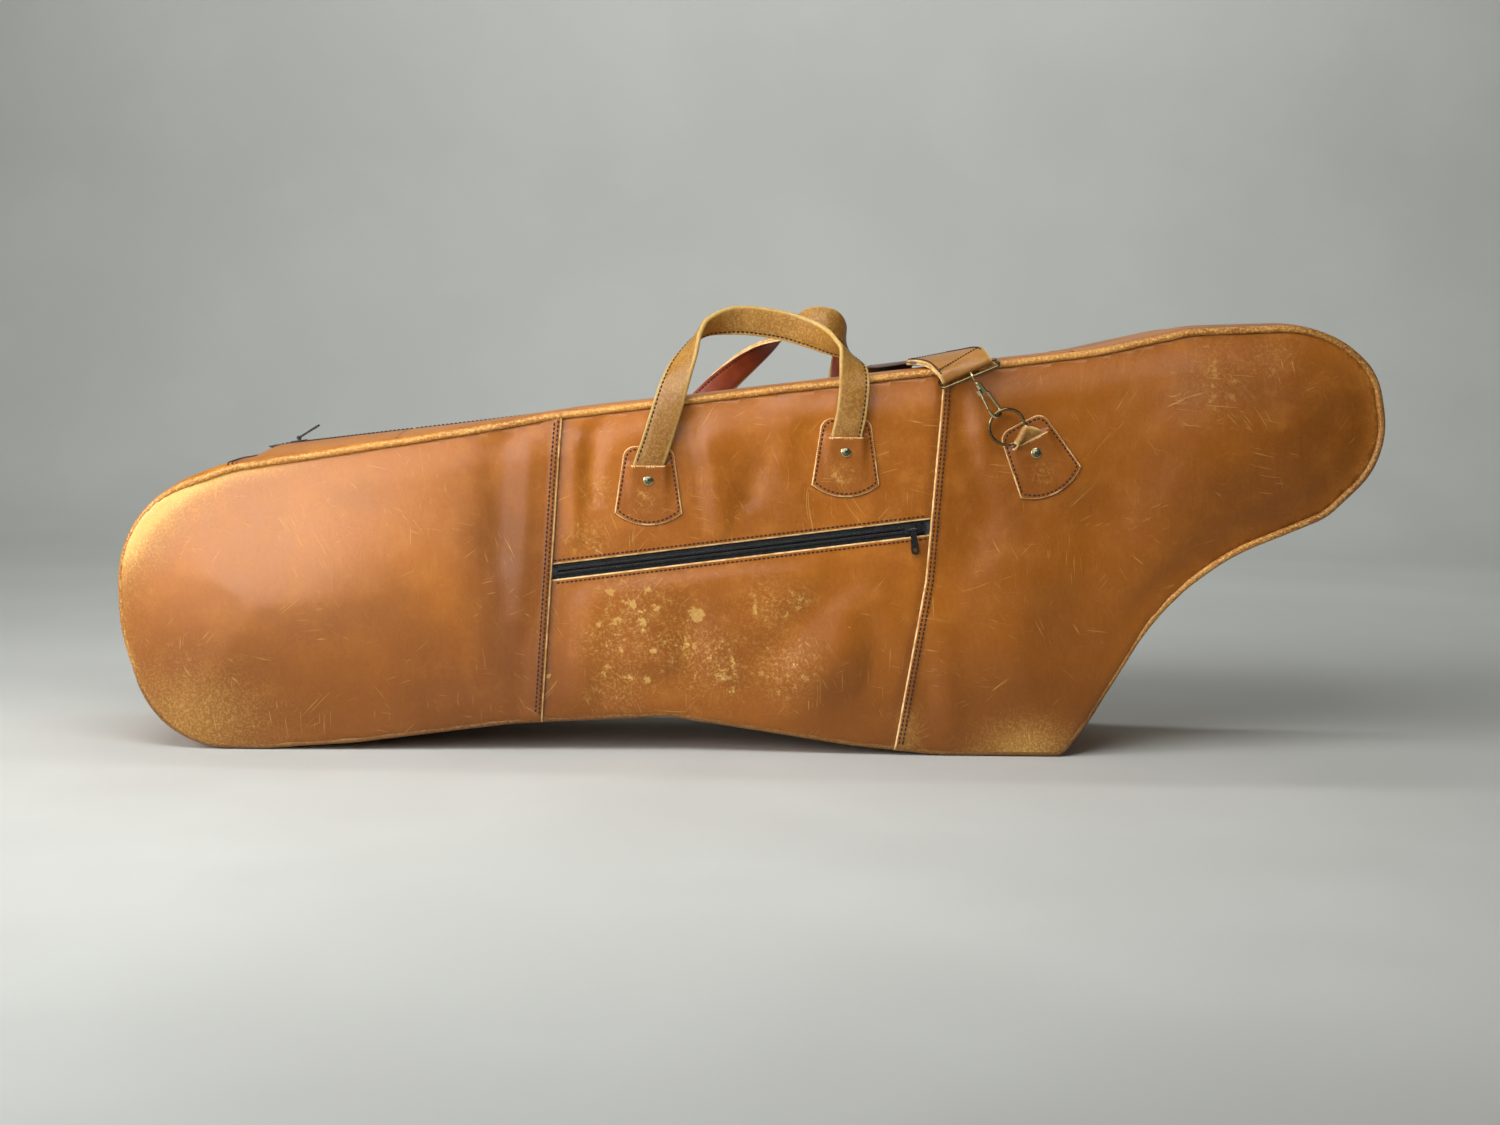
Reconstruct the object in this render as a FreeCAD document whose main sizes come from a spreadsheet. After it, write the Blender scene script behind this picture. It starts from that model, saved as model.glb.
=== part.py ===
import FreeCAD, Part
import math
import os

from FreeCAD import Placement, Rotation, Vector

# A soft leather gig bag for a baritone saxophone, standing on its lower long side.
# Frame, in millimetres: +X from the wide bell end to the neck end, -Y is the face with the pocket,
# +Z up. The origin is on the floor, under the middle of the bag.

DIMENSIONS = {
    "half_depth": 112.0,        # middle plane to the outside of a face
    "leather": 1.6,
    "padding": 10.0,            # foam in the two faces
    "gusset_foam": 6.0,
    "lining": 0.8,
    "gusset_half": 103.0,       # half the width of the gusset between the two welts
    "welt_radius": 3.2,
    "tape": 0.8,
    "tape_half": 15.8,          # zip tape's outer edge from the middle of the chain
    "coil_width": 2.4,
    "coil_height": 1.6,
    "chain_gap": 0.8,           # from the middle of the chain to each half
    "zip_opening": 7.0,         # from the middle of the chain to the cut edge of the leather
    "patch": 2.6,               # patch leather and the strap end sewn under it
    "handle_width": 28.0,
    "handle_thick": 5.0,
    "ring_radius": 16.5,        # middle of the wire of a strap ring
    "ring_wire": 1.5,
    "rivet_radius": 4.8,
    "shank_radius": 1.6,
    "webbing_width": 50.0,
    "webbing_thick": 2.6,
    "tab_thick": 4.6,
    "pull_blade": 1.6,
}

# Corners of the side view, clockwise from the heel of the bell end: x, z and the radius of the bend.
# The two stretches at z = 0 are what the bag stands on.
OUTLINE = [
    (-556, 0, 92), (-591, 112, 164), (-593, 229, 101), (-484, 268.5, 92), (-270, 303.5, 400),
    (-184, 319.5, 395), (315, 382.2, 214), (407, 403, 145), (530, 408.5, 105), (582, 365, 63),
    (596.5, 284, 83), (538, 227, 60), (403.5, 171, 246), (320, 32, 190), (297, 0, 18),
    (178, 0, 300), (100, 7.5, 300), (-75, 34, 85), (-222, 26, 394), (-366, 7, 300), (-455, 0, 300),
]

# The straight run of the main zip, and the stretch of the mouth whose sides fold in.
ZIP_START = Vector(-443, 0, 285.5)
ZIP_END = Vector(322, 0, 382.5)
MOUTH = (-330.0, 300.0)
FLAP = (MOUTH[0] + 1.2, MOUTH[1] - 3.0)
CROWN = (-480.0, -470.0, MOUTH[0] - 0.8)
LEFT_CHAIN_START = -468.0
HINGE_Y = 98.0
ZIP_NOSE_END = (560.0, 262.0)

# Seams between the three leather panels of a face: x and z down the seam.
LEFT_SEAM = [(-171.5, 380), (-196.5, -20)]
RIGHT_SEAM = [(181, 400), (163.6, 166), (131, -30)]
POCKET_ZIP = [(-184.5, 170.4), (165.0, 215.8)]
POCKET_CHAIN_INSET = 5.4

PULL_HEIGHT = 4.8       # a slider's bar above the middle of its chain

HANDLE_SLOTS = [("left", Vector(-95, 0, 271)), ("right", Vector(88, 0, 299))]

doc = FreeCAD.newDocument("SaxophoneBag")
sheet = doc.addObject("Spreadsheet::Sheet", "Dimensions")
for row, (alias, value) in enumerate(DIMENSIONS.items(), start=1):
    sheet.set(f"A{row}", alias)
    sheet.set(f"B{row}", str(value))
    sheet.setAlias(f"B{row}", alias)
doc.recompute()

subparts = {}


def size(alias):
    return float(sheet.get(alias))


def keep(label, part):
    """Make an object of the document one of the bag's separate pieces."""
    part.Label = label
    subparts[label] = part
    return part


def feature(name, shape, placement=None):
    part = doc.addObject("Part::Feature", name)
    part.Shape = shape
    if placement:
        part.Placement = placement
    return part


def frame(origin, x_axis, y_axis):
    """A placement at origin with the given local axes; the y axis is squared up to the x axis."""
    x_axis = Vector(x_axis).normalize()
    z_axis = x_axis.cross(Vector(y_axis)).normalize()
    y_axis = z_axis.cross(x_axis)
    matrix = FreeCAD.Matrix(
        x_axis.x, y_axis.x, z_axis.x, origin.x,
        x_axis.y, y_axis.y, z_axis.y, origin.y,
        x_axis.z, y_axis.z, z_axis.z, origin.z,
        0, 0, 0, 1)
    return Placement(matrix)


# ---------------------------------------------------------------- paths, outlines and regions

def rounded_wire(corners, closed=True):
    """Straight runs joined by tangent arcs. corners are pairs of a point and a radius."""
    points = [Vector(point) for point, radius in corners]
    count = len(points)
    starts, ends, middles = {}, {}, {}
    for i, (point, radius) in enumerate(corners):
        if not closed and i in (0, count - 1):
            starts[i] = ends[i] = points[i]
            continue
        back = (points[i - 1] - points[i]).normalize()
        ahead = (points[(i + 1) % count] - points[i]).normalize()
        half = back.getAngle(ahead) / 2
        reach = radius / math.tan(half)
        inward = (back + ahead).normalize()
        starts[i] = points[i] + back * reach
        ends[i] = points[i] + ahead * reach
        middles[i] = points[i] + inward * (radius / math.sin(half) - radius)
    edges = []
    for i in range(count):
        if i in middles:
            edges.append(Part.Arc(starts[i], middles[i], ends[i]).toShape())
        if closed or i < count - 1:
            following = starts[(i + 1) % count]
            if (following - ends[i]).Length > 1e-4:
                edges.append(Part.LineSegment(ends[i], following).toShape())
    return Part.Wire(edges)


def outline_wire(inset, y):
    """The side view's outline, moved in by inset, in the plane at y."""
    count = len(OUTLINE)
    corners = []
    for i, (x, z, radius) in enumerate(OUTLINE):
        before = Vector(x - OUTLINE[i - 1][0], 0, z - OUTLINE[i - 1][1]).normalize()
        after = Vector(OUTLINE[(i + 1) % count][0] - x, 0, OUTLINE[(i + 1) % count][1] - z).normalize()
        turn = before.z * after.x - before.x * after.z
        inward = (Vector(before.z, 0, -before.x) + Vector(after.z, 0, -after.x)).normalize()
        half = math.acos(max(-1.0, min(1.0, before.dot(after)))) / 2
        point = Vector(x, y, z) + inward * (inset / math.cos(half))
        corners.append((point, radius - inset if turn > 0 else radius + inset))
    return rounded_wire(corners)


def top_height(x):
    """Height of the bag's upper edge above the floor at x."""
    line = Part.LineSegment(Vector(x, 0, 150), Vector(x, 0, 600)).toShape()
    return max(vertex.Z for vertex in outline_wire(0, 0).section(line).Vertexes)


def thick(name, face, depth):
    """A flat face thickened along +Y by a cell of the sheet, or by an expression of cells."""
    profile = feature(name + "_profile", face)
    part = doc.addObject("Part::Extrusion", name)
    part.Base = profile
    part.DirMode = "Custom"
    part.Dir = Vector(0, 1, 0)
    part.Solid = True
    part.setExpression("LengthFwd", depth)
    return part


def region(name, points, half_width=200.0):
    """A prism across the bag: points are x and z, and it reaches half_width each side of the middle."""
    wire = Part.makePolygon([Vector(x, -half_width, z) for x, z in points + points[:1]])
    return feature(name, Part.Face(wire).extrude(Vector(0, 2 * half_width, 0)))


def combine(kind, name, *operands):
    part = doc.addObject(kind, name)
    if kind == "Part::MultiCommon" or kind == "Part::MultiFuse":
        part.Shapes = list(operands)
    elif kind == "Part::Compound":
        part.Links = list(operands)
    else:
        part.Base, part.Tool = operands
    return part


def band(name, outer, inner, y_low, depth):
    """A strip round the whole outline between two insets, as wide as depth says."""
    face = Part.Face(outline_wire(outer, y_low)).cut(Part.Face(outline_wire(inner, y_low)))
    return thick(name, face.Faces[0], depth)


def sweep(wire, radius):
    """A round rod along a wire."""
    edge = wire.Edges[0]
    tangent = edge.tangentAt(edge.FirstParameter)
    circle = Part.Wire(Part.makeCircle(radius, edge.valueAt(edge.FirstParameter), tangent))
    return wire.makePipeShell([circle], True, True)


def ribbon(stations, width, thickness):
    """A flat strap through stations, each a middle point and the direction of a line across it.

    Where that line runs slanted, it is longer, so that the strap keeps its width.
    """
    wires = []
    for i, (point, across) in enumerate(stations):
        tangent = stations[min(i + 1, len(stations) - 1)][0] - stations[max(i - 1, 0)][0]
        tangent.normalize()
        normal = tangent.cross(across)
        slant = normal.Length
        side, up = across * (width / 2 / slant), normal * (thickness / 2 / slant)
        corners = [point - side - up, point + side - up, point + side + up, point - side + up]
        wires.append(Part.makePolygon(corners + corners[:1]))
    return Part.makeLoft(wires, True, True)


def smoothed(stations, count):
    """More stations along a smooth curve through the given ones; the widths turn evenly between them."""
    curve = Part.BSplineCurve()
    curve.interpolate([point for point, across in stations])
    knots = [curve.parameter(point) for point, across in stations]
    result = []
    for step in range(count):
        here = knots[0] + (knots[-1] - knots[0]) * step / (count - 1)
        i = max(k for k in range(len(knots) - 1) if knots[k] <= here + 1e-9)
        share = (here - knots[i]) / (knots[i + 1] - knots[i])
        across = stations[i][1] * (1 - share) + stations[i + 1][1] * share
        result.append((curve.value(here), across.normalize()))
    return result


# ---------------------------------------------------------------- the two faces

def face_regions():
    """Prisms that part a face into its left, middle and right panels."""
    left = region("left_of_seam", [(-700, -50), (-700, 500)] + [LEFT_SEAM[0], LEFT_SEAM[1]])
    middle = region("between_seams", LEFT_SEAM + RIGHT_SEAM[::-1])
    right = region("right_of_seam", RIGHT_SEAM + [(700, -50), (700, 500)])
    return {"left": left, "middle": middle, "right": right}


def pocket_strips(half_width, name):
    """Prisms above and below the pocket zip, and the strip along it, half_width each side of it."""
    start, end = Vector(*POCKET_ZIP[0], 0), Vector(*POCKET_ZIP[1], 0)
    along = (end - start).normalize()
    across = Vector(-along.y, along.x, 0)
    far = along * 60
    low = [start - far - across * half_width, end + far - across * half_width]
    high = [start - far + across * half_width, end + far + across * half_width]
    above = region(name + "_above", [(p.x, p.y) for p in high + [Vector(300, 500, 0), Vector(-300, 500, 0)]])
    below = region(name + "_below", [(p.x, p.y) for p in low + [Vector(300, -80, 0), Vector(-300, -80, 0)]])
    return above, below


def make_panels(regions):
    panel_inset = 6.0
    for face_name, y_low in (("front", -size("half_depth")), ("rear", size("half_depth") - size("leather"))):
        skin = thick(face_name + "_skin", Part.Face(outline_wire(panel_inset, y_low)), "Dimensions.leather")
        for place in ("left", "right"):
            panel = combine("Part::MultiCommon", f"{face_name}_{place}_part", skin, regions[place])
            keep(f"{face_name}_{place}_panel", panel)
        middle = combine("Part::MultiCommon", face_name + "_middle_part", skin, regions["middle"])
        if face_name == "rear":
            keep("rear_middle_panel", middle)
            continue
        above, below = pocket_strips(size("zip_opening"), "pocket_cut")
        keep("front_upper_panel", combine("Part::MultiCommon", "upper_part", middle, above))
        keep("front_pocket_panel", combine("Part::MultiCommon", "pocket_part", middle, below))


def make_padding_and_lining(pocket_room):
    padding_inset, lining_inset = 8.0, 8.6
    inner = size("half_depth") - size("leather") - size("padding")
    outer = size("half_depth") - size("leather")
    foam = thick("front_foam", Part.Face(outline_wire(padding_inset, -outer)), "Dimensions.padding")
    keep("front_padding", combine("Part::Cut", "front_foam_cut", foam, pocket_room))
    keep("rear_padding", thick("rear_foam", Part.Face(outline_wire(padding_inset, inner)), "Dimensions.padding"))
    front_face = Part.Face(outline_wire(lining_inset, -inner))
    rear_face = Part.Face(outline_wire(lining_inset, inner - size("lining")))
    keep("front_lining", thick("front_cloth", front_face, "Dimensions.lining"))
    keep("rear_lining", thick("rear_cloth", rear_face, "Dimensions.lining"))


def make_welts():
    """A turned leather roll along the whole edge of each face."""
    roll_inset, roll_y = 4.0, 106.9
    for name, y in (("front_welt", -roll_y), ("rear_welt", roll_y)):
        keep(name, feature(name + "_roll", sweep(outline_wire(roll_inset, y), size("welt_radius"))))


# ---------------------------------------------------------------- the gusset

END_SIDE = [(-393, -60), (-393, 100), (-440, 180), (-470, 215), (-491, 320), (-700, 320), (-700, -60)]
BOTTOM_SIDE = [(-393, -60), (-393, 100), (-100, 150), (200, 200), (449, 242), (523, 97), (523, -60)]
NOSE_SIDE = [(449, 242), (523, 97), (700, 97), (700, 500), (MOUTH[1], 500), (MOUTH[1], 300)]
MOUTH_SIDE = [(MOUTH[0], 250), (MOUTH[1], 300), (MOUTH[1], 500), (MOUTH[0], 500)]
TAPE_SIDE = [(MOUTH[1], 300), (MOUTH[1], 500), (700, 500), (700, ZIP_NOSE_END[1]), (500, ZIP_NOSE_END[1])]


def slab(name, low, high):
    part = doc.addObject("Part::Box", name)
    part.Length, part.Width, part.Height = high - low
    part.Placement = Placement(low, Rotation())
    return part


def make_gusset():
    width = "2 * Dimensions.gusset_half"
    y_low = -size("gusset_half")
    leather = band("gusset_leather", 0, size("leather"), y_low, width)
    end_side = region("end_side", END_SIDE)
    bottom_side = region("bottom_side", BOTTOM_SIDE)
    nose_side = region("nose_side", NOSE_SIDE)
    mouth_side = region("mouth_side", MOUTH_SIDE)
    keep("end_gusset", combine("Part::MultiCommon", "end_strip", leather, end_side))
    keep("bottom_gusset", combine("Part::MultiCommon", "bottom_strip", leather, bottom_side))

    tape_side = region("tape_side", TAPE_SIDE, size("zip_opening"))
    nose = combine("Part::MultiCommon", "nose_strip", leather, nose_side)
    keep("zip_gusset_right", combine("Part::Cut", "nose_strip_cut", nose, tape_side))

    edge_gap = 0.4
    inner = HINGE_Y + edge_gap
    middle = slab("mouth_room", Vector(-700, -inner, -100), Vector(700, inner, 600))
    edges = combine("Part::MultiCommon", "mouth_strip", leather, mouth_side)
    keep("mouth_edges", combine("Part::Cut", "mouth_strip_cut", edges, middle))

    inner_y = size("half_depth") - size("leather") - size("padding")
    foam_width = "2 * (Dimensions.half_depth - Dimensions.leather - Dimensions.padding)"
    lower = combine("Part::MultiFuse", "lower_sides", end_side, bottom_side)
    foam_inner = size("leather") + size("gusset_foam")
    foam = band("gusset_foam_band", size("leather"), foam_inner, -inner_y, foam_width)
    keep("gusset_padding", combine("Part::MultiCommon", "gusset_foam_part", foam, lower))
    cloth_half = inner_y - size("lining")
    cloth_width = "2 * (Dimensions.half_depth - Dimensions.leather - Dimensions.padding - Dimensions.lining)"
    cloth = band("gusset_cloth", foam_inner, foam_inner + size("lining"), -cloth_half, cloth_width)
    keep("gusset_lining", combine("Part::MultiCommon", "gusset_cloth_part", cloth, lower))

    nose_foam = combine("Part::MultiCommon", "nose_foam", foam, nose_side)
    channel_half = size("tape_half") + 0.8
    channel = slab("nose_channel", Vector(-700, -channel_half, -100), Vector(700, channel_half, 600))
    keep("nose_padding", combine("Part::Cut", "nose_foam_cut", nose_foam, channel))


def crowned_strip(side, sections, thickness):
    """A strip on one side of the zip. sections are x and the points, y and z, across the strip's top."""
    wires = []
    for x, top in sections:
        upper = [Vector(x, side * y, z) for y, z in top]
        lower = [point - Vector(0, 0, thickness) for point in reversed(upper)]
        wires.append(Part.makePolygon(upper + lower + upper[:1]))
    return Part.makeLoft(wires, True, True)


def zip_height(x):
    """Top of the leather beside the straight run of the zip."""
    share = (x - ZIP_START.x) / (ZIP_END.x - ZIP_START.x)
    return ZIP_START.z + share * (ZIP_END.z - ZIP_START.z) + 0.5


def shoulder_y():
    """From here in to the zip, the leather lies flat on the tape."""
    return size("tape_half") + 0.8


def make_left_crown():
    """The fixed left end of the zip gusset, which rises to the straight run of the zip."""
    outer, inner, leather = size("gusset_half"), size("zip_opening"), size("leather")
    low_x, crest_x, high_x = CROWN
    low_z = top_height(low_x) + 2
    sections = []
    for x, crest_z in ((low_x, low_z), (crest_x, zip_height(crest_x)), (high_x, zip_height(high_x))):
        sections.append((x, [(outer, top_height(x)), (shoulder_y(), crest_z), (inner, crest_z)]))
    strips = [crowned_strip(side, sections, leather) for side in (-1, 1)]
    bridge = Part.makeBox(6, 2 * inner, leather, Vector(low_x, -inner, low_z - leather))
    keep("zip_gusset_left", feature("left_crown", strips[0].fuse([strips[1], bridge]).removeSplitter()))


def hinge_height(x):
    """Top of a mouth flap along its straight fold line."""
    share = (x - MOUTH[0]) / (MOUTH[1] - MOUTH[0])
    return top_height(MOUTH[0]) + share * (top_height(MOUTH[1]) - top_height(MOUTH[0]))


def make_flaps():
    """The two halves of the mouth between the fixed ends of the zip; each folds in at its outer edge."""
    foam_depth = 3.4
    for name, side in (("front", -1), ("rear", 1)):
        skin, core = [], []
        for x in FLAP:
            edge, crest = (HINGE_Y, hinge_height(x)), (shoulder_y(), zip_height(x))
            skin.append((x, [edge, crest, (size("zip_opening"), zip_height(x))]))
            core.append((x, [(y, z - size("leather")) for y, z in (edge, crest)]))
        keep(name + "_flap_leather", feature(name + "_flap_skin", crowned_strip(side, skin, size("leather"))))
        keep(name + "_flap_padding", feature(name + "_flap_core", crowned_strip(side, core, foam_depth)))


# ---------------------------------------------------------------- zips

def zip_placement(x):
    """On the straight run of the main zip: local x along it, y across it, z out of the bag."""
    run = ZIP_END - ZIP_START
    return frame(ZIP_START + run * ((x - ZIP_START.x) / run.x), run, Vector(0, 1, 0))


def along_zip(x_low, x_high):
    run = ZIP_END - ZIP_START
    return (x_high - x_low) * run.Length / run.x


def chain_bars(name, length, placement, far_y, near_y, low_z, high_z, sides=(-1, 1)):
    """Bars beside the middle of a chain, one on each side asked for."""
    bars = []
    for side in sides:
        y_low = min(side * far_y, side * near_y)
        box = Part.makeBox(length, far_y - near_y, high_z - low_z, Vector(0, y_low, low_z))
        bars.append(feature(f"{name}_{'front' if side < 0 else 'rear'}", box, placement))
    return bars


def tape_and_coil(name, length, placement, sides=(-1, 1)):
    """The woven tape under the leather and the coil on its edge. The leather's top is at z = 0.5."""
    tape_top = 0.5 - size("leather")
    gap = size("chain_gap")
    tape_low = tape_top - size("tape")
    tapes = chain_bars(name + "_tape", length, placement, size("tape_half"), gap, tape_low, tape_top, sides)
    coil_far, coil_top = gap + size("coil_width"), tape_top + size("coil_height")
    coils = chain_bars(name + "_coil", length, placement, coil_far, gap, tape_top, coil_top, sides)
    return tapes, coils


def make_main_chain():
    left_length = along_zip(LEFT_CHAIN_START, CROWN[-1])
    left_tapes, left_coils = tape_and_coil("left", left_length, zip_placement(LEFT_CHAIN_START))

    gap, top = size("chain_gap"), size("leather")
    right_side = region("right_tape_side", TAPE_SIDE)
    right_tapes, right_coils = [], []
    for name, side in (("front", -1), ("rear", 1)):
        tape = band(name + "_nose_tape", top, top + size("tape"),
                    gap if side > 0 else -size("tape_half"), "Dimensions.tape_half - Dimensions.chain_gap")
        coil = band(name + "_nose_coil", top - size("coil_height"), top,
                    gap if side > 0 else -gap - size("coil_width"), "Dimensions.coil_width")
        right_tapes.append(combine("Part::MultiCommon", name + "_nose_tape_part", tape, right_side))
        right_coils.append(combine("Part::MultiCommon", name + "_nose_coil_part", coil, right_side))
    keep("zip_tape_fixed", combine("Part::Compound", "fixed_tapes", *left_tapes, *right_tapes))
    keep("zip_coil_fixed", combine("Part::Compound", "fixed_coils", *left_coils, *right_coils))

    low_x, high_x = FLAP
    for name, side in (("front", -1), ("rear", 1)):
        tapes, coils = tape_and_coil(name + "_flap", along_zip(low_x, high_x), zip_placement(low_x), (side,))
        keep(name + "_flap_tape", tapes[0])
        keep(name + "_flap_coil", coils[0])


def pocket_placement(distance):
    """On the pocket zip, a distance along it: local x along it, y up the face, z out of the face."""
    start = Vector(POCKET_ZIP[0][0], 0, POCKET_ZIP[0][1])
    end = Vector(POCKET_ZIP[1][0], 0, POCKET_ZIP[1][1])
    along = (end - start).normalize()
    origin = start + along * distance
    origin.y = -size("half_depth") + 0.5
    return frame(origin, along, along.cross(Vector(0, 1, 0)))


def pocket_length():
    return math.dist(*POCKET_ZIP)


def make_pocket():
    placement = pocket_placement(POCKET_CHAIN_INSET)
    length = pocket_length() - 2 * POCKET_CHAIN_INSET
    tapes, coils = tape_and_coil("pocket", length, placement)
    keep("pocket_tape", combine("Part::Compound", "pocket_tapes", *tapes))
    keep("pocket_coil", combine("Part::Compound", "pocket_coils", *coils))

    # The empty pocket lies flat behind the lower panel, against the foam.
    pouch_top, pouch_depth, pouch_thick = -4.0, 108.0, 1.4
    back = 0.5 - size("leather")
    pouch = Part.makeBox(length - 24, pouch_depth, pouch_thick,
                         Vector(12, pouch_top - 14 - pouch_depth, back - pouch_thick))
    keep("pocket_pouch", feature("pouch", pouch, placement))

    # Room in the foam for the tapes, the pouch and the rear plate of the slider.
    tape_room = Part.makeBox(length, 2 * size("tape_half"), size("tape"),
                             Vector(0, -size("tape_half"), back - size("tape")))
    slider_room = Part.makeBox(length, 13.0, 3.6, Vector(0, -6.5, back - 3.6))
    room = tape_room.fuse([slider_room, pouch])
    return feature("pocket_room", room, placement)


def make_slider(label, placement, bar_along_zip):
    """A zip slider: plates over and under the chain, a post between them and a bar for the pull."""
    length, width, front_width = 15.0, 11.0, 7.5
    plate_low, plate_high = 1.0, 2.4
    outline = [(-length / 2, -front_width / 2), (length / 2 - 4, -width / 2), (length / 2, -width / 2 + 2),
               (length / 2, width / 2 - 2), (length / 2 - 4, width / 2), (-length / 2, front_width / 2)]

    def plate(low, high):
        wire = Part.makePolygon([Vector(x, y, low) for x, y in outline + outline[:1]])
        return Part.Face(wire).extrude(Vector(0, 0, high - low))

    under_top = 0.5 - size("leather") - size("tape") - 0.3
    pieces = [plate(plate_low, plate_high), plate(under_top - 1.1, under_top)]
    pieces.append(Part.makeBox(3.5, 1.0, plate_low - under_top, Vector(2.5, -0.5, under_top)))
    bar_height, bar_radius, bar_half = PULL_HEIGHT, 0.9, 4.0
    direction = Vector(1, 0, 0) if bar_along_zip else Vector(0, 1, 0)
    pieces.append(Part.makeCylinder(bar_radius, 2 * bar_half, direction * -bar_half + Vector(0, 0, bar_height),
                                    direction))
    for end in (-1, 1):
        foot = direction * (end * (bar_half - 0.8)) + Vector(-0.8, -0.8, plate_high - 0.2)
        pieces.append(Part.makeBox(1.6, 1.6, bar_height - plate_high + 0.2, foot))
    body = pieces[0].fuse(pieces[1:]).removeSplitter()
    return keep(label, feature(label + "_body", body, placement))


def make_pull(label, placement):
    """A flat pull: local x along its hinge, -y down its blade, z its thickness. The hinge is at 0."""
    body = doc.addObject("PartDesign::Body", label + "_body")
    plane = next(item for item in body.Origin.OriginFeatures if item.Role == "XY_Plane")
    sketch = body.newObject("Sketcher::SketchObject", label + "_blade")
    sketch.AttachmentSupport = (plane, [""])
    sketch.MapMode = "FlatFace"
    top, low, half_top, half_low = -1.4, -20.0, 2.2, 3.9
    points = [Vector(-half_top, top, 0), Vector(half_top, top, 0), Vector(half_low, low, 0)]
    sketch.addGeometry(Part.LineSegment(points[0], points[1]))
    sketch.addGeometry(Part.LineSegment(points[1], points[2]))
    sketch.addGeometry(Part.Arc(points[2], Vector(0, low - half_low, 0), Vector(-half_low, low, 0)))
    sketch.addGeometry(Part.LineSegment(Vector(-half_low, low, 0), points[0]))
    sketch.addGeometry(Part.Circle(Vector(0, low + 0.6, 0), Vector(0, 0, 1), 1.9))
    pad = body.newObject("PartDesign::Pad", label + "_pad")
    pad.Profile = sketch
    pad.Midplane = True
    pad.setExpression("Length", "Dimensions.pull_blade")
    doc.recompute()
    hub = Part.makeCylinder(2.1, 4.4, Vector(-2.2, 0, 0), Vector(1, 0, 0))
    bore = Part.makeCylinder(1.15, 6.0, Vector(-3, 0, 0), Vector(1, 0, 0))
    solid = body.Shape.fuse(hub).cut(bore)
    return keep(label, feature(label + "_whole", solid, placement))


def make_sliders():
    rest = zip_placement(ZIP_START.x)
    make_slider("main_slider", rest, False)
    lean = Rotation(Vector(0, 1, 0), -25)
    pull_frame = Placement(Vector(0, 0, PULL_HEIGHT), lean * Rotation(Vector(0, 0, 1), 90))
    make_pull("main_pull", rest.multiply(pull_frame))

    pocket_rest = pocket_placement(pocket_length() - 14.0)
    make_slider("pocket_slider", pocket_rest, True)
    along = pocket_rest.Rotation.multVec(Vector(1, 0, 0))
    hinge = pocket_rest.multVec(Vector(0, 0, PULL_HEIGHT))
    make_pull("pocket_pull", frame(hinge, along, Vector(0, -0.02, 1)))


def make_stops():
    """Metal clips that close both ends of both coils."""
    tape_top = 0.5 - size("leather")
    clip = Vector(4.0, 2 * (size("chain_gap") + size("coil_width")), size("coil_height"))
    places = [
        zip_placement(LEFT_CHAIN_START - clip.x - 0.4),
        pocket_placement(POCKET_CHAIN_INSET - clip.x),
        pocket_placement(pocket_length() - POCKET_CHAIN_INSET)]
    stops = []
    for i, placement in enumerate(places):
        box = Part.makeBox(clip.x, clip.y, clip.z, Vector(0, -clip.y / 2, tape_top))
        stops.append(feature(f"stop_{i}", box, placement))
    return keep("zip_stops", combine("Part::Compound", "stops", *stops))


# ---------------------------------------------------------------- patches and handles

def make_patch(label, placement, slot_width):
    """A leather patch: local origin in the middle of its slot, y up towards what it holds, z outwards."""
    body = doc.addObject("PartDesign::Body", label + "_body")
    plane = next(item for item in body.Origin.OriginFeatures if item.Role == "XY_Plane")
    sketch = body.newObject("Sketcher::SketchObject", label + "_outline")
    sketch.AttachmentSupport = (plane, [""])
    sketch.MapMode = "FlatFace"
    low, sag, shoulder, top = -44.6, -55.8, 6.0, 17.7
    half_low, half_shoulder, half_top = 31.6, 24.2, 12.0
    sketch.addGeometry(Part.Arc(Vector(-half_low, low, 0), Vector(0, sag, 0), Vector(half_low, low, 0)))
    sketch.addGeometry(Part.LineSegment(Vector(half_low, low, 0), Vector(half_shoulder, shoulder, 0)))
    bulge = Vector(half_top + 9.2, top - 3.6, 0)
    sketch.addGeometry(Part.Arc(Vector(half_shoulder, shoulder, 0), bulge, Vector(half_top, top, 0)))
    sketch.addGeometry(Part.LineSegment(Vector(half_top, top, 0), Vector(-half_top, top, 0)))
    mirrored = Vector(-bulge.x, bulge.y, 0)
    sketch.addGeometry(Part.Arc(Vector(-half_top, top, 0), mirrored, Vector(-half_shoulder, shoulder, 0)))
    sketch.addGeometry(Part.LineSegment(Vector(-half_shoulder, shoulder, 0), Vector(-half_low, low, 0)))
    pad = body.newObject("PartDesign::Pad", label + "_pad")
    pad.Profile = sketch
    pad.setExpression("Length", "Dimensions.patch")

    slot = body.newObject("Sketcher::SketchObject", label + "_slot")
    slot.AttachmentSupport = (plane, [""])
    slot.MapMode = "FlatFace"
    half_slot, slot_height = slot_width / 2, 2.4
    corners = [Vector(-half_slot, 0, 0), Vector(half_slot, 0, 0),
               Vector(half_slot, slot_height, 0), Vector(-half_slot, slot_height, 0)]
    for i in range(4):
        slot.addGeometry(Part.LineSegment(corners[i], corners[(i + 1) % 4]))
    rivet_y = -13.7
    slot.addGeometry(Part.Circle(Vector(0, rivet_y, 0), Vector(0, 0, 1), size("shank_radius")))
    cut = body.newObject("PartDesign::Pocket", label + "_cut")
    cut.Profile = slot
    cut.Type = 1
    cut.Reversed = True
    doc.recompute()
    body.Placement = placement
    keep(label, body)
    return placement.multVec(Vector(0, rivet_y, size("patch")))


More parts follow.
